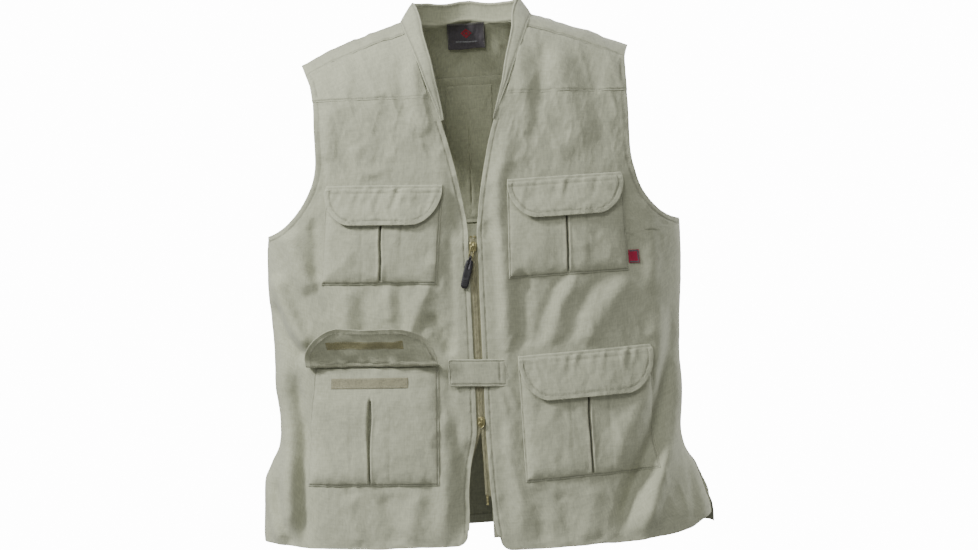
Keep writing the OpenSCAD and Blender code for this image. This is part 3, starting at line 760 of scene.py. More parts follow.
def make_object(name, points, faces, material, body, uv=None, wear=None, seam=None, lined=()):
    """Smooth-shaded mesh from points in millimetres. lined is the range of faces with the inside's look."""
    mesh = bpy.data.meshes.new(name)
    mesh.from_pydata((np.asarray(points) * MM).tolist(), [], [list(map(int, f)) for f in faces])
    mesh.polygons.foreach_set("use_smooth", np.ones(len(mesh.polygons), bool))
    if uv is not None:
        corner = np.zeros(len(mesh.loops), np.int32)
        mesh.loops.foreach_get("vertex_index", corner)
        layer = mesh.uv_layers.new(name="UVMap")
        layer.data.foreach_set("uv", (np.asarray(uv)[corner] * MM).astype(np.float32).ravel())
    # wear pales worn edges; seam carries painted shade for grooves and hollows
    for label, values in (("wear", wear), ("seam", seam)):
        if values is not None:
            attribute = mesh.attributes.new(label, "FLOAT", "POINT")
            attribute.data.foreach_set("value", np.asarray(values, np.float32))
    mesh.materials.append(MATERIALS[material])
    if len(lined):
        mesh.materials.append(MATERIALS["cloth_inside"])
        index = np.zeros(len(mesh.polygons), np.int32)
        index[lined[0]:lined[1]] = 1
        mesh.polygons.foreach_set("material_index", index)
    thing = bpy.data.objects.new(name, mesh)
    bpy.context.scene.collection.objects.link(thing)
    if body:
        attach(thing, body)
    return thing


def grid_normal(grid):
    across = np.gradient(grid, axis=1)
    up = np.gradient(grid, axis=0)
    return unit(np.cross(across, up))


def run_lengths(grid, axis):
    step = np.linalg.norm(np.diff(grid, axis=axis), axis=-1)
    pad = [(1, 0), (0, 0)] if axis == 0 else [(0, 0), (1, 0)]
    return np.cumsum(np.pad(step, pad), axis=axis)


def outward_grid(grid, facing, hole=None):
    """The grid with its columns in the order that makes its normal look the way facing says."""
    if (grid_normal(grid) * np.asarray(facing, float)).sum() < 0:
        grid = grid[:, ::-1]
        hole = None if hole is None else hole[:, ::-1]
    return grid, hole


def cloth_piece(name, grid, material, facing, thick=CLOTH, body="root", hole=None, normal=None, seam=None):
    """Closed thin solid under a grid of points on its outer face, with rounded edges.

    facing says roughly which way the outer face looks. hole is a mask of grid cells to leave out.
    """
    if normal is None:
        grid, hole = outward_grid(grid, facing, hole)
        normal = grid_normal(grid)
    rows, cols = grid.shape[:2]
    u = run_lengths(grid, 1)
    v = run_lengths(grid, 0)
    edge = np.minimum(np.minimum(u, u[:, -1:] - u), np.minimum(v, v[-1:] - v))
    wear = np.exp(-edge / 2.2).ravel()
    seam = np.zeros(rows * cols) if seam is None else seam
    uv = np.stack([u - u[:, cols // 2][:, None], v - v[-1:]], axis=-1).reshape(-1, 2)
    index = np.arange(rows * cols).reshape(rows, cols)
    quads = np.stack([index[:-1, :-1], index[:-1, 1:], index[1:, 1:], index[1:, :-1]], axis=-1)
    quads = quads[~hole] if hole is not None else quads.reshape(-1, 4)
    outer = grid.reshape(-1, 3).copy()
    normal = normal.reshape(-1, 3)
    inner = outer - thick * normal
    count = rows * cols
    # The border: edges that only one cell uses, in the direction that keeps the cloth on their left
    edges = np.concatenate([quads[:, [k, (k + 1) % 4]] for k in range(4)])
    keys = edges[:, 0] * count + edges[:, 1]
    border = edges[~np.isin(keys, edges[:, 1] * count + edges[:, 0])]
    beyond = np.zeros_like(outer)
    way = unit(np.cross(outer[border[:, 1]] - outer[border[:, 0]], normal[border[:, 0]]))
    np.add.at(beyond, border[:, 0], way)
    np.add.at(beyond, border[:, 1], way)
    rim = np.unique(border)
    beyond[rim] = unit(beyond[rim])
    middle = 0.5 * (outer[rim] + inner[rim]) + 0.4 * thick * beyond[rim]
    outer[rim] -= 0.22 * thick * normal[rim]
    inner[rim] += 0.22 * thick * normal[rim]
    place_of = np.full(count, -1)
    place_of[rim] = 2 * count + np.arange(len(rim))
    a = border[:, 0]
    b = border[:, 1]
    sides = [quads, quads[:, ::-1] + count,
             np.stack([b, a, place_of[a], place_of[b]], axis=-1),
             np.stack([place_of[b], place_of[a], a + count, b + count], axis=-1)]
    points = np.concatenate([outer, inner, middle])
    faces = np.concatenate(sides)
    used, faces = np.unique(faces, return_inverse=True)
    faces = faces.reshape(-1, 4)
    uv = np.concatenate([uv, uv, uv[rim]])[used]
    wear = np.concatenate([wear, wear, wear[rim]])[used]
    # the inner face takes a weaker share of the painted seam shade
    seam = np.concatenate([seam, 0.6 * seam, seam[rim]])[used]
    lined = (len(quads), 2 * len(quads)) if material == "cloth" else ()
    return make_object(name, points[used], faces, material, body, uv, wear, seam, lined)


def spaced(length, step, near=(0.7, 1.7, 3.0, 4.6), lines=()):
    """Positions along a length, closer together at both ends and round each line."""
    inner = np.linspace(0, length, max(2, int(round(length / step))) + 1)
    clusters = [[0], near, [length - n for n in near], [length]]
    tight = [d for line in lines for d in (line - 1.5, line - 0.7, line, line + 0.7, line + 1.5)]
    fixed = np.unique(np.concatenate([np.concatenate(clusters), tight]))
    fixed = fixed[(fixed >= 0) & (fixed <= length)]
    gap = np.abs(inner[:, None] - fixed[None]).min(axis=1)
    return np.unique(np.round(np.concatenate([fixed, inner[gap > 0.55 * step]]), 4))


THREAD = {"points": {}, "faces": {}}
STITCH_SIDES = 5
STITCH_PITCH = 2.9
STITCH_LENGTH = 2.3
THREAD_RADIUS = 0.27


def stitch_template():
    """One stitch along +X that dips into the cloth at both ends."""
    rings = [(-0.36, 0.85), (0.36, 0.85)]
    points = [(-1.0, 0, -0.9)]
    for x, r in rings:
        for k in range(STITCH_SIDES):
            a = 2 * math.pi * k / STITCH_SIDES
            points.append((x, r * math.cos(a), r * math.sin(a) + 0.35))
    points.append((1.0, 0, -0.9))
    n = STITCH_SIDES
    faces = []
    for k in range(n):
        m = (k + 1) % n
        faces.append((0, 1 + k, 1 + m, 1 + m))
        faces.append((1 + k, 1 + n + k, 1 + n + m, 1 + m))
        faces.append((1 + 2 * n, 1 + n + m, 1 + n + k, 1 + n + k))
    return np.array(points), np.array(faces)


def sew(group, line, out):
    """Adds a row of stitches along a line of points to a group, with out the cloth's normals there."""
    line = np.asarray(line, float)
    way = walk(line)
    if way[-1] < STITCH_PITCH:
        return
    centres = np.arange(STITCH_PITCH / 2, way[-1], STITCH_PITCH)
    at = at_distances(line, way, centres)
    x = unit(at_distances(line, way, centres + 0.6) - at_distances(line, way, centres - 0.6))
    up = at_distances(out, way, centres)
    up = unit(up - (up * x).sum(-1, keepdims=True) * x)
    y = np.cross(up, x)
    template, faces = stitch_template()
    local = template * np.array([STITCH_LENGTH / 2, THREAD_RADIUS, THREAD_RADIUS])
    points = (at[:, None] + local[None, :, :1] * x[:, None] + local[None, :, 1:2] * y[:, None]
              + local[None, :, 2:] * up[:, None])
    known = THREAD["points"].setdefault(group, [])
    start = sum(len(p) for p in known)
    known.append(points.reshape(-1, 3))
    offsets = start + len(template) * np.arange(len(at))
    THREAD["faces"].setdefault(group, []).append((faces[None] + offsets[:, None, None]).reshape(-1, 4))


def nearest(points, cloud):
    """Index of the nearest point of a cloud, and its distance, for each point."""
    tree = kdtree.KDTree(len(cloud))
    for k, p in enumerate(cloud):
        tree.insert(p, k)
    tree.balance()
    found = [tree.find(p) for p in points]
    return np.array([f[1] for f in found]), np.array([f[2] for f in found])


def edge_line(grid, edge, distance, trim=(0, 0), z_range=(-1e9, 1e9)):
    """Line at a distance in from an edge of the grid: left, right, low or top."""
    g = grid if edge in ("left", "right") else grid.transpose(1, 0, 2)
    g = g[:, ::-1] if edge in ("right", "top") else g
    u = run_lengths(g, 1)
    line = np.array([[np.interp(distance, u[i], g[i, :, k]) for k in range(3)] for i in range(len(g))])
    way = walk(line)
    keep = (way >= trim[0]) & (way <= way[-1] - trim[1])
    keep = keep & (line[:, 2] >= z_range[0]) & (line[:, 2] <= z_range[1])
    return line[keep]


def edge_lines(grid, distance, trim, edges=("left", "right", "low", "top")):
    return [edge_line(grid, edge, distance, trim) for edge in edges]


def sew_along(group, lines, face):
    """Sews along lines on a grid whose normal looks outwards."""
    for line in lines:
        at = nearest(line, face.reshape(-1, 3))[0]
        sew(group, line, grid_normal(face).reshape(-1, 3)[at])


def inset_line(border, normals, distance):
    """A border line moved inwards over the cloth. The cloth lies on the line's left, seen from outside."""
    way = unit(np.gradient(border, axis=0))
    return border + distance * unit(np.cross(normals, way))


def stitched_cloth(name, grid, material, facing, lines, group, thick=CLOTH, body="root", hole=None,
                   normal=None, pucker=0.45, groove=0.8, shade=None):
    """Cloth with rows of stitches that draw it in along lines of points on its outer face.

    shade, from 0 to 1, is painted shade in hollows such as a pleat's.
    """
    flipped = False
    if normal is None:
        before = grid
        grid, hole = outward_grid(grid, facing, hole)
        flipped = grid is not before
        normal = grid_normal(grid)
    shape = grid.shape
    points = grid.reshape(-1, 3).copy()
    out = normal.reshape(-1, 3)
    lines = [resample(line, 0.8) for line in lines if len(line) > 1]
    seam = None
    if lines:
        cloud = np.concatenate(lines)
        along = np.concatenate([np.arange(len(line)) * 0.8 + 500 * k for k, line in enumerate(lines)])
        index, far = nearest(points, cloud)
        ripple = noise(along[index] / 6.0, far / 7.0, 5)
        # painted shade along each row of stitches, where the cloth sinks into a groove
        seam = np.exp(-(far / 1.1) ** 2)
        lift = -groove * np.exp(-far ** 2)
        lift = lift + pucker * ripple * (0.7 * np.exp(-far / 4.0) + 0.4 * np.exp(-far / 10.0))
        for line in lines:
            at = nearest(line, points)[0]
            wave = lift[at] + 0.06
            sew(group, line + out[at] * wave[:, None], out[at])
        points = points + out * lift[:, None]
    if shade is not None:
        seam = np.maximum(seam, (shade[:, ::-1] if flipped else shade).ravel())
    grid = points.reshape(shape)
    return cloth_piece(name, grid, material, facing, thick, body, hole, normal, seam), grid


def finish_thread(group, body):
    """Makes the group's stitches into one piece."""
    points = np.concatenate(THREAD["points"][group])
    faces = np.concatenate(THREAD["faces"][group])
    tidy = [f[:3] if f[2] == f[3] else f for f in faces]
    uv = np.stack([points[:, 0], points[:, 2]], axis=-1)
    piece = make_object(f"{group}_stitching", points, tidy, "thread", body, uv, np.zeros(len(points)))
    return piece


def sheet_of(node):
    """Hides the CAD node that a cloth piece replaces."""
    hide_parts(node)


# ---------------------------------------------------------------- pockets and flaps: shapes


def pocket_shape(left, top, lean, w, h, low_w, turn, slit, flap, seed, round_w=37, fan=1.2):
    """slit is the pleat's x at its top and bottom, its upper and lower heights, and how far it gapes.

    flap is the flap's length, round_w the width of its round corners, and fan the height of its puckers.
    """
    corners = np.array([[left, top], [left + w, top + turn], [left + w + lean, top + turn - h],
                        [left + w + lean - low_w, top - h]], float)
    return {"corners": corners, "w": w, "h": h, "slit": slit, "flap": flap, "seed": seed,
            "round_w": round_w, "fan": fan}


POCKETS = {
    "right_chest": pocket_shape(-188, -229, -13, 152, 127, 152, -6, (-117, -123, -270, -355, 0.2), 50, 11,
                                fan=2.0),
    "left_chest": pocket_shape(48.5, -232, 4, 149.5, 127, 157, 4, (121, 123, -270, -353, 0.15), 50, 12),
    "right_lower": pocket_shape(-224, -463, -6, 172, 156, 174, -4, (-142, -148, -509, -618, 1.6), 58, 13,
                                round_w=50),
    "left_lower": pocket_shape(51.5, -462, 3, 174, 162, 174, 7, (139, 142, -505, -617, 0.3), 58, 14),
}
MOUTH_DROP = 2.5
MOUTH_DRAWN_IN = 10  # the open pocket's mouth is drawn in at one end
OPEN_ANGLE = math.radians(135)  # of the flap that is open in the photo
RIM_STITCH = 6.5  # distance of a flap's stitches from its round edge
STRIP_TOP = 15
HOOK_TOP = 26  # the flap runs out over the pouch first, so its strip is further from the seam
STRIP_H = 13
STRIP_U = (0.19, 0.77)


def on_corners(corners, u, v):
    u = np.asarray(u, float)[..., None]
    v = np.asarray(v, float)[..., None]
    return lerp(lerp(corners[3], corners[2], u), lerp(corners[0], corners[1], u), v)


def pocket_point(pocket, u, s, lift, side=-1):
    """Point at a share u across a pocket and s below its flap seam, at a height over the front."""
    xz = on_corners(pocket["corners"], u, 1 - np.asarray(s, float) / pocket["h"])
    return place(side, xz[..., 0], xz[..., 1], lift)


def pouch_lift(pocket, u, s, with_shade=False):
    """Height of a pouch over the front: flat at its sewn edges, fuller below, with an inverted pleat.

    with_shade asks for the shade in the pleat and along its pressed edges instead.
    """
    w = pocket["w"]
    h = pocket["h"]
    seed = pocket["seed"]
    side = np.minimum(u, 1 - u) * w
    rim = np.minimum(side, h - s)
    full = lerp(2.3, 3.6, ease((s - 3) / 14)) + lerp(0, 4.2, ease((s - 20) / 36))
    lift = 1.4 + (full - 1.4) * (1 - np.exp(-(np.maximum(rim, 0) / 7) ** 1.2))
    swell = 0.9 * noise(u * 3.5, s / 42, seed) + 0.25 * noise(u * 11, s / 15, seed + 1)
    lift = lift + swell * ease(rim / 14)
    x0, x1, top, low, gape = pocket["slit"]
    xz = on_corners(pocket["corners"], u, 1 - s / h)
    t = (top - xz[..., 1]) / (top - low)
    across = xz[..., 0] - lerp(x0, x1, t) - 1.2 * noise(t * 3, 0.5, seed + 2)
    open_here = ease((t + 0.02) / 0.05) * ease((1.02 - t) / 0.06)
    half = 0.5 + gape * np.exp(-((t - 0.26) / 0.24) ** 2)
    groove = np.exp(-(np.abs(across) / (half + 0.5)) ** 3)
    roll = np.exp(-((np.abs(across) - half - 2.4) / 1.9) ** 2)
    press = np.exp(-((np.abs(across) - 25 - 0.8 * noise(t * 4, 2.5, seed)) / 1.2) ** 2)
    lift = lift + open_here * (0.85 * roll - 0.7 * press)
    lift = lift - 0.55 * ease((rim - 3) / 10) * np.exp(-(across / 14) ** 2) * ease((t - 0.9) / 0.1)
    if with_shade:
        return open_here * np.maximum(groove, 0.5 * press)
    return np.maximum(lift - open_here * groove * 6.0, 0.35)


def pouch_columns(pocket):
    """Shares across a pouch, closer together at its edges, its stitches and its pleat."""
    w = pocket["w"]
    x0, x1 = pocket["slit"][:2]
    corners = pocket["corners"]
    centre = 0.5 * (x0 + x1) - 0.5 * (corners[0, 0] + corners[3, 0])
    near = [centre + sign * d for d in (0, 0.5, 1, 1.5, 2, 2.6, 3.3, 4.2, 5.4, 7, 9) for sign in (-1, 1)]
    base = spaced(w, 2.8, lines=(2, w - 2))
    base = base[np.abs(base - centre) > 10]
    return np.unique(np.round(np.concatenate([base, near]), 4)) / w


def flap_lift(pocket, u, s):
    """Height of a closed flap over the front."""
    length = pocket["flap"]
    seed = pocket["seed"]
    w = pocket["w"]
    lift = curve([(-2, 1.3), (0, 2.6), (4, 4.8), (12, 7.2), (20, 8.6), (length - 12, 13.0), (length, 14.4)],
                 s)
    fan = noise(u * w / 7.0 + s / 26, s / 34, seed + 3) * ease((s + 2) / 6)
    fan = pocket["fan"] * fan * np.exp(-np.maximum(s - 6, 0) / 20)
    wave = 1.0 * noise(u * w / 30, s / 42, seed + 4) * ease(s / 16)
    corner = np.maximum(ease((u - 0.82) / 0.18), ease((0.18 - u) / 0.18)) * ease((s - length + 34) / 34)
    crumple = 0.4 * noise(u * w / 9, s / 9, seed + 6) * ease((s - 3) / 8)
    curl = 1.8 * corner * (0.4 + 0.5 * noise(u * 3, 1.5, seed + 5))
    return lift + fan + wave + crumple - curl


def flap_grid_shares(pocket):
    """Rows and columns of a flap: distances below its seam, and shares across each row."""
    length = pocket["flap"]
    w = pocket["w"]
    deep = length - 5.0
    turn = np.linspace(0, 1, 26) ** 0.85
    low = length - deep * (1 - np.cos(0.5 * math.pi * turn))
    high = np.array([4.2, 3.0, 1.8, 0.6, -0.5, -1.4, -2.0])
    s = np.concatenate([low, high])
    reach = np.clip((s - length + deep) / deep, 0, 1)
    inset = pocket["round_w"] * (1 - (1 - reach ** 1.85) ** (1 / 1.85)) / w
    across = spaced(w, 1.7, lines=(RIM_STITCH, w - RIM_STITCH)) / w
    u = inset[:, None] + (1 - 2 * inset[:, None]) * across[None]
    return np.broadcast_to(s[:, None], u.shape), u


def rim_border(grid):
    """Border of a flap from its upper left corner round the bottom to its upper right, seen from outside."""
    return np.concatenate([grid[::-1, 0], grid[0, 1:-1], grid[:, -1]])


def hinge_line(pocket):
    """The flap's axis as in the CAD: straight, in front of the curved seam."""
    c = pocket["corners"]
    ends = []
    for x, z in (c[0], c[1], 0.5 * (c[0] + c[1])):
        base = on_body(-1, np.array(x), np.array(z))
        ends.append(base + 4 * body_normal(base, -1))
    bulge = np.array([0, ends[2][1] - 0.5 * (ends[0][1] + ends[1][1]), 0])
    return ends[0] + bulge, ends[1] + bulge


def turned(p, start, way, angle):
    """Points turned about a line by an angle in radians, which may differ from point to point."""
    v = p - start
    along = (v * way).sum(-1, keepdims=True) * way
    flat = v - along
    angle = np.asarray(angle)[..., None]
    return start + along + np.cos(angle) * flat + np.sin(angle) * np.cross(way, flat)


# ---------------------------------------------------------------- panels


def arc_columns(start, end, near, far, step, face=-1, sag=None):
    """Rows of points on the plain body from start to end, both (x, z) by row.

    Columns lie at fixed distances from both ends, with even steps between them.
    """
    g = np.linspace(0, 1, 200)
    bend = g if sag is None else sag(g)
    tables = []
    for (xa, za), (xb, zb) in zip(start, end):
        z = za + (zb - za) * bend
        x = x_at(lerp(angle_of(xa, za), angle_of(xb, zb), g), z)
        tables.append((x, z, walk(on_body(face, x, z))))
    widest = max(way[-1] for x, z, way in tables)
    count = int((widest - near[-1] - far[-1]) / step)
    xs = []
    zs = []
    for x, z, way in tables:
        w = way[-1]
        squeeze = min(1.0, 0.35 * w / (near[-1] + far[-1]))
        a = squeeze * np.array(near)
        b = squeeze * np.array(far)
        at = np.concatenate([a, np.linspace(a[-1], w - b[-1], count + 2)[1:-1], w - b[::-1]])
        xs.append(np.interp(at, way, x))
        zs.append(np.interp(at, way, z))
    return np.array(xs), np.array(zs)


def edge_rows(x_of_z, z_low, z_high, face, low, top, count):
    """Rows along an edge of a panel: fixed distances at its ends and even steps between them."""
    z = np.unique(np.concatenate([np.linspace(z_low, z_high, 400), under_arm(np.linspace(90, 0, 240))]))
    z = z[(z >= z_low) & (z <= z_high)]
    way = walk(on_body(face, x_of_z(z), z))
    at = np.concatenate([low, np.linspace(low[-1], way[-1] - top[-1], count + 2)[1:-1],
                         way[-1] - np.array(top)[::-1]])
    height = np.interp(at, way, z)
    return np.stack([x_of_z(height), height], axis=-1)


HEM = {  # height of the front's hem, by distance from the middle
    -1: [(0, -703), (140, -703.5), (230, -700), (300, -694)],
    1: [(0, -709.5), (60, -711), (147, -709), (200, -708), (269, -699.5), (293, -687), (305, -683)],
}
EDGE_NEAR = (0, 0.7, 1.5, 2.3, 3.2, 4.4, 5.3, 6.0, 6.7, 7.6, 9.0, 11.0)
EDGE_FAR = (0, 0.7, 1.5, 2.5, 4, 6, 8)
LOW_ROWS = (0, 0.7, 1.5, 2.2, 2.9, 4, 6, 8, 10, 11.7, 12.5, 13.3, 15, 18)
TOP_ROWS = (0, 1.2, 2.6, 4, 5.5, 8)
ARMHOLE_STITCH = 7.0
FRONT = (0, -1, 0)


def under_arm(degrees):
    """Heights along the armhole's lower curve, by the angle round it."""
    return ARMHOLE_TURN_Z - (ARMHOLE_TURN_Z - ARMPIT_Z) * np.sin(np.radians(degrees))


def round_corner(inward, bend):
    """How far a round corner rises from an edge, by the distance in from the other edge."""
    return bend - np.sqrt(np.maximum(bend ** 2 - np.maximum(bend - inward, 0) ** 2, 0))


def vent(x, z):
    """1 at the open lower end of a side seam, where front and back stand apart, and 0 away from it."""
    share = np.abs(x) / half_w(x, z)
    return ease((-640 - z) / 62) * np.exp(-(np.maximum(1 - share, 0) * 300 / 16) ** 1.2)


def front_panel(side):
    """Grid of a front panel, columns from its front edge to its armhole and side seam."""
    top = FRONT_YOKE_Z + 5
    inner, outer = [edge_rows(x_of_z, FRONT_HEM_Z, top, -1, LOW_ROWS, TOP_ROWS, 222) for x_of_z in
                    (lambda z: side * curve(FRONT_EDGE[side], z), lambda z: side * outer_x(side, z))]
    x, z = arc_columns(inner, outer, EDGE_NEAR, EDGE_FAR, 2.7)
    up = z - FRONT_HEM_Z
    rise = (curve(HEM[side], side * x) - FRONT_HEM_Z) * (1 - ease(up / 120))
    heights = z + rise + round_corner(np.abs(x - inner[:, :1]), 15.0) * (1 - ease(up / 24))
    # the top goes in under the yoke
    p = place(-1, x, heights, -1.25 * ease((heights + 114) / 3))
    p[..., 1] -= 6.5 * vent(x, heights)
    p[..., 2] += 0.8 * noise(x / 24, 0.5, 6) * (1 - ease(up / 40))
    return p


def armhole_stitches(face, side, low=-1e4, high=1e4, lift=0.0):
    """Line of stitches in from the armhole, on the front (face -1) or the back (face 1)."""
    z = np.concatenate([under_arm(np.linspace(89.5, 0, 120)), np.arange(-188, -76, 4.0)])
    base = resample(on_body(face, side * outer_x(side, z), z), 2.5)
    way = unit(np.gradient(base, axis=0))
    p = base + ARMHOLE_STITCH * unit(np.cross(body_normal(base, face), way)) * (-side * face)
    p = p[2:]
    p = p[(p[:, 2] > low) & (p[:, 2] < high)]
    return place(face, p[:, 0], p[:, 2], lift)


def build_front(side, name):
    """Front panel with its stitched front edge, hem and armhole."""
    grid = front_panel(side)
    lines = [edge_line(grid, "left", 6.0, z_range=(-698, -150)), armhole_stitches(-1, side, high=-112)]
    piece, final = stitched_cloth(f"{name}_cloth", grid, "cloth", FRONT, lines, "root")
    sew_along("root", [edge_line(final, "low", 12.5, trim=(3, 3))], final)
    sheet_of(name)


def build_back_panel():
    top = BACK_YOKE_Z + 6
    left, middle, right = [edge_rows(x_of_z, BACK_HEM_Z, top, 1, LOW_ROWS, TOP_ROWS, 170) for x_of_z in
                           (lambda z: outer_x(1, z), lambda z: 0 * z, lambda z: -outer_x(-1, z))]
    halves = [arc_columns(middle, outer, (0, 3.5), EDGE_FAR, 3.6, 1, lambda g: g * g)
              for outer in (left, right)]
    x = np.concatenate([halves[0][0][:, ::-1], halves[1][0][:, 1:]], axis=1)
    heights = np.concatenate([halves[0][1][:, ::-1], halves[1][1][:, 1:]], axis=1)
    # the top goes in under the yoke
    p = place(1, x, heights, -1.25 * ease((heights - BACK_YOKE_Z + 4) / 3))
    p[..., 1] += 6.5 * vent(x, heights)
    p[..., 0] += 5.0 * ease((-640 - heights) / 40) * ease((x - 240) / 50)
    lines = [edge_line(p, "low", 12.0, trim=(3, 3))]
    lines += [armhole_stitches(1, side, high=BACK_YOKE_Z - 3) for side in (-1, 1)]
    piece, final = stitched_cloth("back_panel_cloth", p, "cloth", (0, 1, 0), lines, "root")
    sheet_of("back_panel")


def build_front_yoke(side, name):
    """Front yoke: its lower edge lies on the front panel, and its top goes under the back yoke."""
    t = spaced(52, 2.2, lines=(2.4,)) / 52
    f = spaced(158, 2.4, lines=(7,)) / 158
    z_in = lerp(FRONT_YOKE_Z, NECK_POINT_Z - 20, t)
    z_out = lerp(FRONT_YOKE_Z, TIP_Z - FORWARD_SEAM + 1, t)
    x = side * lerp(curve(FRONT_EDGE[side], z_in)[:, None], outer_x(side, z_out)[:, None], f[None])
    low = FRONT_YOKE_Z - lerp(*((9.0, 4.0) if side < 0 else (8.0, 10.0)), f[None])
    z = lerp(low, ridge(x) - FORWARD_SEAM + 4, t[:, None])
    p = place(-1, x, z, 0.55 - 1.6 * ease((t[:, None] * 52 - 46) / 4))
    lines = [edge_line(p, "low", 2.0, trim=(1, 1)), armhole_stitches(-1, side, low=-108, lift=0.5)]
    piece, final = stitched_cloth(f"{name}_cloth", p, "cloth", (0, -1, 0.2), lines, "root")
    sheet_of(name)


NAPE_SHARE = -ridge(0.0) / (BACK_YOKE_Z - ridge(0.0))
NAPE_HALF_W = 6


def neck_x(q):
    """Half width of the neck opening on the back, a share q of the way down the yoke."""
    return np.maximum(NAPE_HALF_W, NECK_HALF_W * np.sqrt(np.maximum(0.0, 1 - q / NAPE_SHARE)))


def forward_neck_x(side, p):
    """Half width of the neck opening in front of the ridge."""
    return lerp(NECK_HALF_W, curve(FRONT_EDGE[side], NECK_POINT_Z - 20), p)


def forward_tip_x(side, p):
    """Half width at the armhole in front of the ridge."""
    return outer_x(side, lerp(TIP_Z, TIP_Z - FORWARD_SEAM, p))


def build_back_yoke():
    """One piece from the back seam over the shoulders to the forward seams, with the neck cut out."""
    back_q = np.concatenate([[1.018, 1.01, 1.0, 0.99, 0.975, 0.96, 0.94],
                             np.linspace(0.9, NAPE_SHARE * 1.05, 18),
                             NAPE_SHARE * (1 - np.linspace(0, 1, 17) ** 2)])
    front_p = np.concatenate([[0.02, 0.05], np.linspace(0.12, 0.8, 7), [0.88, 0.93, 0.97, 1.0, 1.04, 1.08]])
    share = spaced(150, 2.8, lines=(7,)) / 150
    share = 1 - share[::-1]
    middle = np.array([NAPE_HALF_W / 3, -NAPE_HALF_W / 3]) / NAPE_HALF_W
    rows = []
    normals = []
    holes = []
    for q in back_q:
        sides = []
        for side in (1, -1):
            tip = outer_x(side, lerp(TIP_Z, BACK_YOKE_Z, min(q, 1.0)))
            sides.append(side * lerp(neck_x(q), tip, share[::-1]))
        x = np.concatenate([sides[0], middle * neck_x(q), sides[1][::-1]])
        z = ridge(x) - q * (ridge(x) - BACK_YOKE_Z)
        base = on_body(1, x, z)
        rows.append(place(1, x, z, 0.45 + 0.3 * noise(x / 20, z / 20, 2)))
        normals.append(body_normal(base, 1))
        holes.append(q < NAPE_SHARE * 0.9999)
    for p in front_p:
        sides = [side * lerp(forward_neck_x(side, min(p, 1)), forward_tip_x(side, min(p, 1)), share[::-1])
                 for side in (1, -1)]
        x = np.concatenate([sides[0], middle * sides[0][-1], sides[1][::-1]])
        z = ridge(x) - p * FORWARD_SEAM
        base = on_body(-1, x, z)
        rows.append(place(-1, x, z, 0.55))
        normals.append(body_normal(base, -1))
        holes.append(True)
    grid = np.array(rows)
    normal = np.array(normals)
    cols = grid.shape[1]
    hole = np.zeros((len(grid) - 1, cols - 1), bool)
    gap = slice(len(share) - 1, len(share) + 2)
    for i in range(len(grid) - 1):
        if holes[i] or holes[i + 1]:
            hole[i, gap] = True
    lines = [edge_line(grid, "low", 2.2, trim=(1, 1))]
    half = len(share)
    for part in (slice(0, half), slice(cols - half, cols)):
        lines.append(np.array([lerp(grid[-2, k], grid[-5, k], 0.4) for k in range(cols)[part]]))
    for face, low_z in ((1, BACK_YOKE_Z), (-1, -78)):
        found = [armhole_stitches(face, side, low=low_z, lift=0.5) for side in (-1, 1)]
        lines += [line for line in found if len(line) > 2]
    piece, final = stitched_cloth("back_yoke_cloth", grid, "cloth", None, lines, "root", hole=hole,
                                  normal=normal)
    sheet_of("back_yoke")


def band_seam_line(side):
    """Seam of half the neckband, from its lower front end to the nape."""
    z = np.array([BAND_END_Z, -128, -104, -80, -56, -36], float)
    points = [place(-1, side * curve(FRONT_EDGE[side], z), z)]
    p = np.array([1, 0.6, 0.25, 0.06])
    x = side * forward_neck_x(side, p)
    points.append(place(-1, x, ridge(x) - p * FORWARD_SEAM))
    q = np.array([0.02, 0.15, 0.35, 0.55, 0.75, 0.9, 1.0]) * NAPE_SHARE
    x = side * neck_x(q)
    points.append(place(1, x, ridge(x) - q * (ridge(x) - BACK_YOKE_Z)))
    return np.concatenate(points)


def build_neckband():
    """Band from the V's lower ends up round the nape, standing on its seam."""
    count = 150
    columns = []
    v = spaced(24, 2.0, near=(0.7, 1.5, 2.3, 3.2)) / 24
    for side in (1, -1):
        seam = smooth_line(band_seam_line(side), count)
        t = np.linspace(0, 1, count)
        way = unit(np.stack([-side * curve([(0, 0.94), (0.35, 0.9), (0.6, 0.56), (0.8, 0.25), (1, 0)], t),
                             curve([(0, 0), (0.6, 0), (1, -0.12)], t),
                             curve([(0, 0.34), (0.35, 0.4), (0.6, 0.88), (1, 1)], t)], axis=-1))
        width = curve([(0, 2.2 - 1.2 * side), (0.1, 8.5 - 2.5 * side), (0.22, 16 - 2 * side),
                       (0.6, 29.5 - side), (0.8, 29.5 - 2 * side), (1, 27)], t)
        lean = 0.8 * noise(t * 14, side, 6) + 0.4 * noise(t * 40, side, 7)
        half = np.array([seam[i] + way[i] * (0.4 + width[i] * v[:, None]) for i in range(count)])
        across = unit(np.cross(np.gradient(seam, axis=0), way)) * side
        half += across[:, None] * (lean[:, None] * v[None] ** 1.4)[..., None]
        half += across[:, None] * (0.7 * np.sin(np.pi * v[None]) * np.ones((count, 1)))[..., None]
        columns.append(half)
    grid = np.concatenate([columns[0], columns[1][::-1][1:]]).transpose(1, 0, 2)
    out = grid_normal(grid)
    if (out[:, :, 1] * np.sign(grid[:, :, 1])).sum() < 0:
        grid = grid[:, ::-1]
        out = grid_normal(grid)
    grid = grid + 1.1 * out
    lines = edge_lines(grid, 2.2, (2, 2), ("low", "top"))
    piece, final = stitched_cloth("neckband_cloth", grid, "cloth", None, lines, "root", thick=2.2, normal=out,
                                  pucker=0.35)
    normals = out.reshape(-1, 3)
    for line in lines:
        inner = line - 2.3 * normals[nearest(line, grid.reshape(-1, 3))[0]]
        sew("root", inner, -normals[nearest(inner, final.reshape(-1, 3))[0]])
    sheet_of("neckband")


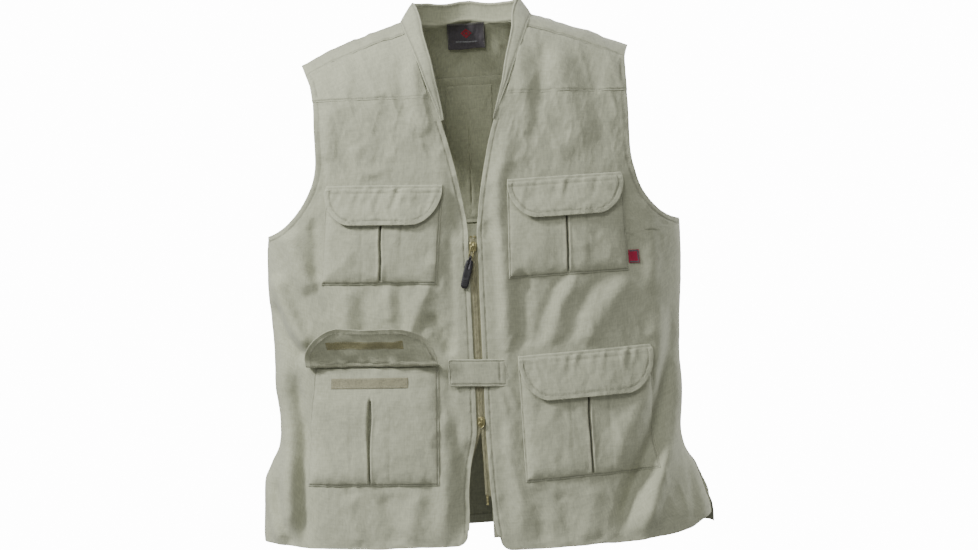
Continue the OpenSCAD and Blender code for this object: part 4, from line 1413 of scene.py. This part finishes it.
def build_armhole_facing(side, name):
    z = np.concatenate([under_arm(np.arange(78, -1, -4)), np.arange(-184, -62, 5.0)])
    under = np.clip((ARMHOLE_TURN_Z - z) / (ARMHOLE_TURN_Z - ARMPIT_Z), 0, 1)
    rise = np.clip((z + 130) / 50, 0, 1)
    outer = outer_x(side, z)
    rows = []
    v = np.array([0, 0.05, 0.12, 0.2, 0.4, 0.6, 0.8, 0.88, 0.95, 1.0])
    width = 12.0
    inner = outer - width * np.sqrt(1 - under ** 2)
    drop = -width * under + rise * (ridge(inner) - ridge(outer))
    tips = np.linspace(SHOULDER_HALF_W, SHOULDER_HALF_W - width, len(v))
    for face in (-1, 1):
        half = [place(face, side * lerp(outer, inner, k), z + k * drop, -CLOTH - 0.75) for k in v]
        rows.append(np.array(half).transpose(1, 0, 2))
    tip = place(-1, side * tips, ridge(tips) - 0.4, -CLOTH - 0.75)
    loop = np.concatenate([rows[0], tip[None], rows[1][::-1]])
    piece = cloth_piece(f"{name}_cloth", loop, "cloth_inside", (side, 0, 0.4), thick=0.5)
    sheet_of(name)


def zip_shift(side, z):
    """Sideways shift of half the zip below the lower slider, where the front falls open."""
    z = np.asarray(z, float)
    at_hem, above = (23.0, 17.5) if side < 0 else (1.6, 1.2)
    return curve([(-640, at_hem), (-605, above), (-552, 0)], z) * (z < -552)


def zip_point(side, x, z, behind):
    """Point of a zip half at a distance behind the front's plain surface; x is measured outwards."""
    x = np.asarray(x, float) + zip_shift(side, z)
    y = -(FRONT_DEPTH + 0.1) + behind - folds(-1, side * x, z)
    return np.stack(np.broadcast_arrays(side * x, y, z), axis=-1).astype(float)


def build_front_facing(side, name):
    """Strip of cloth behind half of the zip."""
    z = np.arange(-694, -301.9, 4.0)
    x = np.array([8, 8.8, 10, 13, 18, 23, 28, 32, 34.4, 35.3, 36.0])
    xs, zs = np.meshgrid(x, z)
    inside = place(-1, side * (xs + zip_shift(side, zs)), zs, -CLOTH - 3.2)
    piece = cloth_piece(f"{name}_cloth", inside, "cloth_inside", FRONT, thick=0.6)
    sheet_of(name)


def build_pleat_underlay():
    """Cloth behind the pleat of the back, seen through the neck."""
    z = np.concatenate([[-278, -277.3, -276.4, -275], np.arange(-272, BACK_YOKE_Z - 3, 3.0)])
    x = spaced(64, 2.2, lines=(32,)) - 32
    xs, zs = np.meshgrid(x, z)
    crease = 1.3 * np.exp(-(xs / 1.1) ** 2) * ease((-140 - zs) / 12) * ease((zs + 256) / 12)
    p = place(1, xs, zs, -CLOTH - 1.6 + crease + 0.5 * noise(xs / 12, zs / 30, 4))
    lines = [edge_line(p, "low", 6, trim=(1, 1))]
    piece, final = stitched_cloth("back_pleat_underlay_cloth", p, "cloth_inside", FRONT, lines, "root",
                                  thick=0.6)
    sheet_of("back_pleat_underlay")


def build_pouch(key):
    """Patch pocket with its pleat."""
    pocket = POCKETS[key]
    w = pocket["w"]
    h = pocket["h"]
    s = np.concatenate([[h - d for d in (0, 0.7, 1.4, 2.0, 2.6, 3.4, 4.6, 6.4, 9)],
                        np.arange(h - 12, MOUTH_DROP + 6, -2.8),
                        [MOUTH_DROP + d for d in (4, 2.6, 1.4, 0.6, 0)]])
    us, ss = np.meshgrid(pouch_columns(pocket), s)
    drawn_in = (MOUTH_DRAWN_IN if key == "right_lower" else 0) / w * (1 - ss / h)
    us = us + (1 - us) * drawn_in
    grid = pocket_point(pocket, us, ss, pouch_lift(pocket, us, ss))
    lines = edge_lines(grid, 2.0, (1, 0), ("left", "right")) + [edge_line(grid, "low", 2.0, trim=(2, 2))]
    name = f"{key}_pocket"
    piece, final = stitched_cloth(f"{name}_cloth", grid, "cloth", FRONT, lines, "root", pucker=0.6,
                                  shade=pouch_lift(pocket, us, ss, with_shade=True))
    sheet_of(name)
    # the mouth's hem shows on the open pocket
    if key == "right_lower":
        sew_along("root", [edge_line(final, "top", 6.0, trim=(3, 3))], final)


def strip_grid(pocket, lift, s_top):
    """Grid of a fastening strip on a pocket, s_top below the seam, and its shares and distances."""
    w = pocket["w"]
    s = s_top + STRIP_H - spaced(STRIP_H, 1.8, near=(0.6, 1.3))
    u = STRIP_U[0] + spaced((STRIP_U[1] - STRIP_U[0]) * w, 2.4, near=(0.6, 1.3)) / w
    us, ss = np.meshgrid(u, s)
    return us, ss, pocket_point(pocket, us, ss, lift(us, ss))


def build_strips(key):
    """Loop strip on a pocket. The hook strip is made with the flap."""
    pocket = POCKETS[key]
    loops = strip_grid(pocket, lambda u, s: smooth_pouch(pocket, u, s) + 0.95, STRIP_TOP)[2]
    loop = cloth_piece(f"{key}_loop_tape", loops, "loop_tape", FRONT, thick=0.85)
    sheet_of(f"{key}_loop_strip")
    sew_along("root", edge_lines(loops, 1.6, (1.5, 1.5)), loops)


def smooth_pouch(pocket, u, s):
    """A pouch's height without its pleat, for what lies across it."""
    plain = dict(pocket)
    plain["slit"] = (1e4, 1e4, -1e4, -1e4 - 1, 1.0)
    return pouch_lift(plain, u, s)


def root_ends(pocket, open_angle):
    """Where a flap's cloth starts and stops bending at its seam."""
    a, b = hinge_line(pocket)
    way = unit(b - a)
    middle = 0.5 * (a + b)
    down = unit(np.array([0, 0, -1.0]) - way * -way[2])
    out = unit(np.cross(down, way))
    out = out if out[1] < 0 else -out
    if open_angle:
        turned_way = math.cos(open_angle) * down + math.sin(open_angle) * out
        return middle - 1.6 * out + 0.5 * down, middle + 6.5 * turned_way
    return middle + 1.0 * down, middle + 7.0 * down


def build_flap(key):
    pocket = POCKETS[key]
    s, u = flap_grid_shares(pocket)
    name = f"{key}_flap"
    opened = key == "right_lower"
    below = -CLOTH - 0.1
    strip_u, strip_s, strip = strip_grid(pocket, lambda u, s: flap_lift(pocket, u, s) + below, HOOK_TOP)
    if opened:
        grid = opened_flap(pocket, u, s, 0)
        strip = opened_flap(pocket, strip_u, strip_s, below)
        facing = (0, 0.7, -0.7)
    else:
        grid = pocket_point(pocket, u, s, flap_lift(pocket, u, s))
        facing = FRONT
    face = outward_grid(grid, facing)[0]
    border = rim_border(face)
    even = resample(border, 1.2)
    border_out = rim_border(grid_normal(face))[nearest(even, border)[0]]
    middle = grid.reshape(-1, 3).mean(axis=0)
    rim = inset_line(even, border_out, RIM_STITCH)
    if np.linalg.norm(rim.mean(axis=0) - middle) > np.linalg.norm(border.mean(axis=0) - middle):
        rim = inset_line(even, -border_out, RIM_STITCH)
    lines = [rim[6:-6], edge_line(face, "top", 3.6, trim=(1, 1)), edge_line(face, "top", 10.0, trim=(1, 1))]
    piece, final = stitched_cloth(f"{name}_cloth", grid, "cloth", facing, lines, name, body=None, pucker=0.55)
    if opened:
        cloud = final.reshape(-1, 3)
        for line in lines:
            at = nearest(line, cloud)[0]
            back = grid_normal(final).reshape(-1, 3)[at]
            sew(name, cloud[at] - back * (CLOTH - 0.02), -back)
    sheet_of(name)
    hook_facing = (0, -0.7, 0.7) if opened else (0, 1, 0)
    hook = cloth_piece(f"{key}_hook_tape", strip, "hook_tape", hook_facing, thick=0.6, body=name)
    sheet_of(f"{key}_hook_strip")
    hook_face = outward_grid(strip, hook_facing)[0]
    sew_along(name, edge_lines(hook_face, 1.6, (1.5, 1.5)), hook_face)
    start, end = root_ends(pocket, OPEN_ANGLE if opened else 0)
    for thing in (piece, finish_thread(name, None)):
        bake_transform(thing)


def opened_flap(pocket, u, s, lift):
    """The open flap: straight along its hinge, and turned up about it. Its root lies on the curved front."""
    a, b = [end + np.array([0, 0, 2.5]) for end in hinge_line(pocket)]
    way = unit(b - a)
    down = unit(np.array([0, 0, -1.0]) + way[2] * way)
    out = np.cross(way, down)
    out = out if out[1] < 0 else -out
    height = curve([(-2, 1.3), (0, 2.6), (4, 4.6), (12, 6.4), (24, 8.2), (40, 11.0), (58, 14.0)], s) - 4
    fan = noise(u * 20 + s / 20, s / 30, 21) * np.exp(-np.maximum(s - 6, 0) / 18) * ease((s + 2) / 6)
    height = height + 2.1 * fan + 0.5 * noise(u * 15, s / 9, 22)
    height = height - 9.0 * ease((0.34 - u) / 0.34) * ease((s - 8) / 38)
    height = height + 2.0 * np.sin(u * 7.2 + 0.6) * ease((s - 8) / 40)
    height = height + 6.0 * ease((u - 0.8) / 0.2) * ease((s - 14) / 34)
    p = (a + u[..., None] * (b - a) + s[..., None] * down + (height + lift)[..., None] * out)
    p = turned(p, a, way, turn_sign(a, way) * OPEN_ANGLE * ease((s + 3.2) / 5.0))
    xz = on_corners(pocket["corners"], u, 1 - s / pocket["h"])
    root = place(-1, xz[..., 0], xz[..., 1], 1.3 + lift)
    return lerp(root, p, ease((s + 2) / 2.4)[..., None])


def turn_sign(start, way):
    """Which sign of angle about the hinge opens a flap."""
    probe = turned(start + np.array([0, 0, -10.0]), start, way, np.array(0.5))
    return 1.0 if probe[1] < start[1] - 0.1 else -1.0


# ---------------------------------------------------------------- zip and hardware


def sweep(points, radius, sides=8, closed=False, squash=1.0):
    """Round bar along a line of points: its vertices and faces."""
    points = np.asarray(points, float)
    if closed:
        way = unit(np.roll(points, -1, axis=0) - np.roll(points, 1, axis=0))
    else:
        way = unit(np.gradient(points, axis=0))
    normal = np.zeros_like(points)
    previous = np.array([0.0, 1.0, 0.0]) if abs(way[0, 1]) < 0.8 else np.array([1.0, 0, 0])
    for i, t in enumerate(way):
        previous = previous - (previous @ t) * t
        previous = previous / np.linalg.norm(previous)
        normal[i] = previous
    side = np.cross(way, normal)
    a = np.arange(sides)[:, None] * 2 * math.pi / sides
    ring = points[:, None] + radius * (np.cos(a) * normal[:, None] * squash + np.sin(a) * side[:, None])
    faces = ring_faces(len(points), sides, closed)
    if not closed:
        faces += end_faces(len(points), sides)
    return ring.reshape(-1, 3), faces


def end_faces(rings, sides):
    last = (rings - 1) * sides
    return [tuple(range(sides))[::-1], tuple(range(last, last + sides))]


def joined(parts):
    """One set of vertices and faces from several."""
    faces = []
    start = 0
    for points, known in parts:
        faces += [tuple(start + k for k in face) for face in known]
        start += len(points)
    return np.concatenate([points for points, known in parts]), faces


CHAIN_TOP = -304.6
CHAIN_LOW = -638.5


def build_coil(side, name):
    """One half of the chain: a nylon wire wound round the tape's edge."""
    pitch = 1.35
    a = np.arange(int((CHAIN_TOP - CHAIN_LOW) / pitch) * 12) / 12
    phase = 2 * math.pi * (a + (0.5 if side < 0 else 0))
    wire = zip_point(side, np.full(len(a), 1.35), CHAIN_TOP - a * pitch, 2.2)
    wire[:, 0] += side * 1.85 * np.cos(phase)
    wire[:, 1] -= 1.05 * np.sin(phase)
    core = zip_point(side, np.full(170, 1.9), np.linspace(CHAIN_TOP, CHAIN_LOW, 170), 2.2)
    coil = joined([sweep(wire, 0.34, sides=5), sweep(core, 0.5, sides=6)])
    piece = make_object(f"{name}_nylon", *coil, "zip_coil", "root")
    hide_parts(name)


def build_tape(side, name):
    """Tape of one half of the zip, with a corded edge beside the chain."""
    z = np.arange(-640, -301.5, 1.6)
    x = np.array([2.35, 2.7, 3.3, 4, 5, 6.5, 8, 10, 12, 13.6, 14.4, 15.0])
    xs, zs = np.meshgrid(x, z)
    grid = zip_point(side, xs, zs, 2.0 - 0.35 * np.exp(-((xs - 3.2) / 0.6) ** 2))
    piece = cloth_piece(f"{name}_woven", grid, "zip_tape", FRONT, thick=0.6)
    sheet_of(name)


def rounded_solid(outline, front, back, rim=0.35, steps=3):
    """Plate with rounded edges from an outline in X and Z: rings from its front face to its back face."""
    outline = np.asarray(outline, float)
    x, z = outline.T
    ahead = np.roll(outline, -1, axis=0) - np.roll(outline, 1, axis=0)
    out = unit(np.stack([ahead[:, 1], -ahead[:, 0]], axis=-1))
    if ((outline - outline.mean(axis=0)) * out).sum() < 0:
        out = -out
    rings = []
    for k in range(steps + 1):
        a = 0.5 * math.pi * k / steps
        rings.append((rim * (1 - math.sin(a)), front + rim * (1 - math.cos(a))))
    rings += [(inset, front + back - y) for inset, y in rings[::-1]]
    points = [np.stack([x - inset * out[:, 0], np.full(len(x), y), z - inset * out[:, 1]], axis=-1)
              for inset, y in rings]
    faces = ring_faces(len(rings), len(x)) + [f[::-1] for f in end_faces(len(rings), len(x))]
    area = np.sum(x * np.roll(z, -1) - np.roll(x, -1) * z)
    return np.concatenate(points), faces if area > 0 else [f[::-1] for f in faces]


def rounded_outline(corners, radius, steps=4):
    """Outline with each corner rounded."""
    corners = np.asarray(corners, float)
    radius = np.broadcast_to(radius, (len(corners),))
    out = []
    for k, p in enumerate(corners):
        a = corners[k - 1] - p
        b = corners[(k + 1) % len(corners)] - p
        r = min(radius[k], 0.45 * np.linalg.norm(a), 0.45 * np.linalg.norm(b))
        a = p + a / np.linalg.norm(a) * r
        b = p + b / np.linalg.norm(b) * r
        for t in np.linspace(0, 1, steps + 1):
            out.append((1 - t) ** 2 * a + 2 * t * (1 - t) * p + t * t * b)
    return np.array(out)


def hard_piece(name, parts, material, body, node):
    """Piece of metal or plastic that replaces a CAD node. Its slot has the material's name."""
    piece = make_object(name, *joined(parts), material, body)
    edge = piece.modifiers.new("creases", "EDGE_SPLIT")
    edge.split_angle = math.radians(50)
    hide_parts(node)


def slider_parts(nose, way):
    """Zip slider: two shaped plates with turned-in rails, a diamond post and a lug for the pull.

    nose is the height of its wide end, and way is 1 if that end looks up and -1 if it looks down.
    """
    def outline_of(corners, radius):
        return rounded_outline(corners, radius) * np.array([1, way]) + np.array([0, nose])

    body = [(-2.6, 0), (2.6, 0), (4.7, -2.6), (4.5, -7.4), (3.3, -12.6), (-3.3, -12.6), (-4.5, -7.4),
            (-4.7, -2.6)]
    shape = outline_of(body, [1.3, 1.3, 2.0, 2.2, 1.3, 1.3, 2.2, 2.0])
    parts = [rounded_solid(shape, -105.1, -103.75, 0.45), rounded_solid(shape, -100.3, -99.1, 0.4)]
    for side in (-1, 1):
        for y in (-103.9, -100.2):
            rail = [(side * x, y, nose + way * z) for x, z in ((4.55, -2.8), (4.45, -7.2), (3.35, -12.2))]
            parts.append(sweep(smooth_line(np.array(rail), 14), 0.42, 7))
    post = outline_of([(-0.45, -0.5), (0.45, -0.5), (0.5, -3.9), (-0.5, -3.9)], 0.3)
    parts.append(rounded_solid(post, -104.2, -99.9, 0.05, 1))
    lug = [(-104.7, -1.9), (-106.4, -2.6), (-107.4, -4.6), (-107.55, -6.4), (-107.2, -8.6), (-106.2, -10.3),
           (-104.7, -11.0)]
    for x in (-0.35, 0.2, 0.75):
        rise = smooth_line(np.array([(x, y, nose + way * z) for y, z in lug]), 24)
        parts.append(sweep(rise, 0.62, 8, squash=0.8))
    foot = outline_of([(-1.5, -11.6), (1.5, -11.6), (1.9, -8.6), (-1.9, -8.6)], 0.6)
    parts.append(rounded_solid(foot, -105.6, -104.6, 0.3))
    return parts


def build_sliders():
    for name, nose, way in (("top_slider", -309, 1), ("bottom_slider", -549, -1)):
        hard_piece(f"{name}_cast", slider_parts(nose, way), "antique_brass", name, name)


LEAN = math.radians(15)
TOP_LUG = np.array([0, -106.5, -315.0])
PULLER_OUT = -0.6  # the puller hangs a little in front of the wire


def hang(points):
    """Moves points from the pull's own frame, hanging from the origin, to the upper slider."""
    c = math.cos(LEAN)
    s = math.sin(LEAN)
    x, y, z = np.asarray(points, float).T
    return np.stack([c * x + s * z, y, -s * x + c * z], axis=-1) + TOP_LUG


def build_pull():
    """Bent wire from the slider's lug to the puller."""
    outline = rounded_outline([(-2.4, 0), (2.4, 0), (2.6, -15), (-2.6, -15)], [1.2, 1.2, 1.3, 1.3], 5)
    line = np.stack([outline[:, 0], np.full(len(outline), -0.1), outline[:, 1]], axis=-1)
    fine = []
    for a, b in zip(line, np.roll(line, -1, axis=0)):
        steps = max(1, int(np.linalg.norm(b - a) / 0.9))
        fine += [a + (b - a) * t / steps for t in range(steps)]
    points, faces = sweep(fine, 0.72, 10, closed=True)
    hard_piece("top_pull_wire", [(hang(points), faces)], "antique_brass", "top_pull", "top_pull")


def squared(value, power):
    """Cosines and sines of a circle drawn out towards a square's."""
    return np.sign(value) * np.abs(value) ** power


def build_puller():
    """Moulded rubber puller with a waist, grip ribs and a sunk panel."""
    n = 28
    a = np.arange(n) * 2 * math.pi / n
    s = np.concatenate([[0, 0.25, 0.8, 1.8], np.linspace(3, 40, 75), [41.2, 42.1, 42.7, 43.0]])
    half = curve([(0, 0.9), (0.8, 1.55), (3, 1.75), (4.6, 1.9), (6.2, 3.8), (9, 4.8), (24, 5.2), (36, 5.1),
                  (40, 4.7), (42.1, 3.4), (43, 0.9)], s)[:, None]
    depth = curve([(0, 0.7), (0.8, 1.5), (3, 1.9), (6.5, 1.75), (12, 1.95), (24, 2.3), (38, 2.0), (41.5, 1.5),
                   (43, 0.4)], s)[:, None]
    ribs = sum(np.exp(-((s - c) / 0.62) ** 2) for c in (32.0, 34.4, 36.8, 39.2))
    notch = np.exp(-((s - 8.0) / 0.9) ** 2)
    x = half * squared(np.cos(a), 0.62)
    y = depth * squared(np.sin(a), 0.62)
    y = y - (0.34 * ribs - 0.28 * notch)[:, None] * np.clip(-np.sin(a), 0, 1) ** 0.5
    recess = ease((s - 11.5) / 1.2) * ease((30.2 - s) / 1.2)
    flat = np.clip(1 - (np.abs(x) / np.maximum(0.62 * half, 0.1)) ** 6, 0, 1)
    y = y + 0.42 * recess[:, None] * flat * (np.sin(a) < 0)
    z = np.broadcast_to((2.2 - s)[:, None], x.shape)
    points = np.stack([x, y + PULLER_OUT, z - 15], axis=-1).reshape(-1, 3)
    faces = ring_faces(len(s), n) + end_faces(len(s), n)
    hard_piece("puller_moulding", [(hang(points), faces)], "puller", "puller", "puller")
    t = np.linspace(0, 2 * math.pi, 60, endpoint=False)
    inset = np.stack([2.1 * squared(np.cos(t), 0.5), -23.0 + 8.2 * squared(np.sin(t), 0.35)], axis=-1)
    points, faces = rounded_solid(inset, -2.28 + PULLER_OUT, -1.7 + PULLER_OUT, 0.22)
    panel = make_object("puller_panel", hang(points), faces, "puller_inset", "puller")


def build_small_metal():
    """Ring of the lower slider, top stops and pins at the foot of the zip."""
    t = np.linspace(0, 2 * math.pi, 48, endpoint=False)
    ring = np.stack([3.45 * np.cos(t), -106.7 + 0.06 * np.sin(3 * t), -546.4 + 3.45 * np.sin(t)], axis=-1)
    ring = sweep(ring, 0.62, 10, closed=True)
    hard_piece("bottom_pull_ring", [ring], "antique_brass", "bottom_pull", "bottom_pull")
    stops = []
    for side in (-1, 1):
        shape = rounded_outline([(side * 0.55, -303.8), (side * 3.9, -303.6), (side * 3.8, -300.9),
                                 (side * 0.7, -301.1)], 0.5)
        stops.append(rounded_solid(shape, -103.55, -102.5, 0.3))
        stops.append(rounded_solid(shape, -101.6, -100.9, 0.25))
    hard_piece("zip_top_stops_cast", stops, "antique_brass", "root", "zip_top_stops")
    for side, name in ((-1, "right_zip_pin"), (1, "left_zip_pin")):
        x0 = 0.5 + float(zip_shift(side, np.array(-640.0)))
        shape = rounded_outline([(side * x0, -651.8), (side * (x0 + 2.9), -651.4),
                                 (side * (x0 + 2.9), -638.6), (side * x0, -638.2)], [1.2, 0.8, 0.5, 0.5])
        lift = -float(folds(-1, np.array(side * (x0 + 4)), np.array(-642.0)))
        parts = [rounded_solid(shape, -103.1 + lift, -100.9 + lift, 0.5)]
        for z in (-641.4, -643.4, -649.6):
            rib = ((0.4, -103.15), (1.45, -103.35), (2.5, -103.15))
            parts.append(sweep([(side * (x0 + x), y + lift, z) for x, y in rib], 0.3, 6))
        hard_piece(f"{name}_cast", parts, "antique_brass", "root", name)


# ---------------------------------------------------------------- tab, label and tag


TAB_LENGTH = 76
TAB_FREE_X = -38.5
TAB_STITCH = 2.2


def tab_surface(x, z):
    """Outer face of the waist tab: sewn flat at its left end, lying over the zip to its free end."""
    front = curve([(-40, 110.6), (-30, 109.2), (-18, 108.6), (-6, 108.7), (6, 108.5), (20, 107.3),
                   (31, 106.6), (35, 106.2), (38, 106)], x)
    wave = 0.35 * noise(x / 14, z / 13, 5) + 0.45 * noise(x / 5.5, z / 22, 6) * np.exp(-np.abs(x - 26) / 7)
    return -(front + wave * ease((38 - x) / 6.08))


def build_tab():
    """Waist tab with its hook patch, and the loop patch it fastens to."""
    x = spaced(TAB_LENGTH, 1.3, lines=(TAB_STITCH, 10.5)) + TAB_FREE_X
    xs, vs = np.meshgrid(x, spaced(34.6, 1.3, lines=(TAB_STITCH, 32.4)) / 34.6)
    t = (xs - TAB_FREE_X) / TAB_LENGTH
    top = -460.2 - 3.6 * t + 0.25 * noise(xs / 9, 0.5, 3)
    low = -494.4 - 3.6 * t + 0.25 * noise(xs / 9, 3.5, 3)
    corner = round_corner(xs - TAB_FREE_X, 3.2)
    z = lerp(low + corner, top - corner, vs)
    grid = np.stack([xs, tab_surface(xs, z), z], axis=-1)
    trim = (TAB_STITCH, TAB_STITCH)
    lines = edge_lines(grid, TAB_STITCH, trim, ("low", "top", "left", "right"))
    lines.append(edge_line(grid, "right", 10.5, trim))
    piece, final = stitched_cloth("waist_tab_cloth", grid, "cloth", FRONT, lines, "waist_tab", thick=1.9,
                                  body=None, pucker=0.4)
    sheet_of("waist_tab")
    for thing in (piece, finish_thread("waist_tab", None)):
        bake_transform(thing)
    xs, zs = np.meshgrid(spaced(26.5, 1.8, near=(0.6, 1.3)) - 36, spaced(27.5, 1.8, near=(0.6, 1.3)) - 492.5)
    hook = np.stack([xs, tab_surface(xs, zs) + 1.9 + 0.75, zs], axis=-1)
    patch = cloth_piece("tab_hook_tape", hook, "hook_tape", (0, 1, 0), thick=0.7, body="waist_tab")
    sheet_of("tab_hook_patch")
    front = place(-1, xs, zs, 0.75)
    loop = cloth_piece("tab_loop_tape", front, "loop_tape", FRONT, thick=0.7)
    sheet_of("tab_loop_patch")


def build_label():
    """Woven neck label with a red lozenge in an outline and a grey stripe."""
    xs, zs = np.meshgrid(spaced(52, 1.8, near=(0.5, 1.1)) - 27, spaced(32, 1.6, near=(0.5, 1.1)) - 35.2)
    drop = (-zs - 4) / 31
    base = place(1, xs, zs - 0.6, -CLOTH - 0.9)
    base[..., 1] -= 1.1 * ease(drop) * (1 + 0.5 * np.sin(xs / 11)) + 1.5
    base[..., 2] += 0.35 * np.sin(xs / 9)
    lines = edge_lines(base, 1.2, (1, 1), ("left", "right")) + [edge_line(base, "top", 1.4, trim=(1, 1))]
    piece, final = stitched_cloth("neck_label_woven", base, "neck_label", FRONT, lines, "label", thick=0.5,
                                  pucker=0.15, groove=0.25)
    sheet_of("neck_label")
    cloud = final.reshape(-1, 3)

    def woven_mark(name, x, z, material):
        """Thin weft laid on the label's front over a grid of x and z."""
        reach = (cloud[:, 0] - x.reshape(-1, 1)) ** 2 + (cloud[:, 2] - z.reshape(-1, 1)) ** 2
        order = np.argsort(reach, axis=1)[:, :4]
        weight = 1 / (np.take_along_axis(reach, order, 1) + 0.05)
        weight = weight / weight.sum(axis=1, keepdims=True)
        y = (cloud[order, 1] * weight).sum(axis=1).reshape(x.shape) - 0.08
        mark = cloth_piece(name, np.stack([x, y, z], axis=-1), material, FRONT, thick=0.12)

    centre_x = float(cloud[:, 0].mean())
    top_z = float(cloud[:, 2].max())
    t = np.linspace(2 * math.pi, 0, 49)
    diamond = np.abs(np.cos(t)) + np.abs(np.sin(t))
    for name, sizes in (("neck_label_lozenge", (1.0, 0.86, 0.74, 0.62)),
                        ("neck_label_heart", (0.42, 0.3, 0.16, 0.03))):
        ring = np.array(sizes)[:, None]
        woven_mark(name, centre_x + 7.6 * ring * (np.cos(t) / diamond),
                   top_z - 12.5 + 6.2 * ring * (np.sin(t) / diamond), "label_red")
    stripe = np.meshgrid(np.linspace(centre_x - 15, centre_x + 15, 25),
                         top_z - np.array([24.2, 23.6, 23.1, 22.6]))
    woven_mark("neck_label_stripe", *stripe, "label_grey")
    finish_thread("label", "root")


TAG_X = 203.4
TAG_WIDTH = 12.5


def tag_surface(x, z, above=0.0):
    """Outer face of the side tag, which stands further off the front towards its free end."""
    t = (x - TAG_X) / TAG_WIDTH
    return place(-1, x, z, lerp(1.3, 3.2, ease(t)) + 0.5 * np.sin(z / 4.0) * t + above)


def build_tag():
    """Red side tag with a dark woven border on its three free sides."""
    xs, zs = np.meshgrid(spaced(TAG_WIDTH, 1.2, near=(0.4, 0.9)) + TAG_X,
                         spaced(16.5, 1.4, near=(0.4, 0.9)) - 345.4)
    grid = tag_surface(xs, zs)
    piece = cloth_piece("side_tag_woven", grid, "side_tag", FRONT, thick=0.9)
    sheet_of("side_tag")
    for k, (x0, x1, z0, z1) in enumerate(((204.3, 215.4, -345.1, -343.4), (204.3, 215.4, -330.8, -329.1),
                                          (214.0, 215.6, -343.3, -330.9))):
        xs, zs = np.meshgrid(np.linspace(x0, x1, 12), np.linspace(z0, z1, 5))
        border = cloth_piece(f"side_tag_edge_{k}", tag_surface(xs, zs, 0.08), "neck_label", FRONT, thick=0.12)


# ---------------------------------------------------------------- build

build_back_panel()
build_pleat_underlay()
build_back_yoke()
for side, word in ((-1, "right"), (1, "left")):
    build_front(side, f"{word}_front_panel")
    build_front_yoke(side, f"{word}_front_yoke")
    build_armhole_facing(side, f"{word}_armhole_facing")
    build_front_facing(side, f"{word}_front_facing")
    build_tape(side, f"{word}_zip_tape")
    build_coil(side, f"{word}_zip_coil")
build_neckband()
for key in POCKETS:
    build_pouch(key)
    build_strips(key)
    build_flap(key)
build_sliders()
build_pull()
build_puller()
build_small_metal()
build_tab()
build_label()
build_tag()
finish_thread("root", "root")
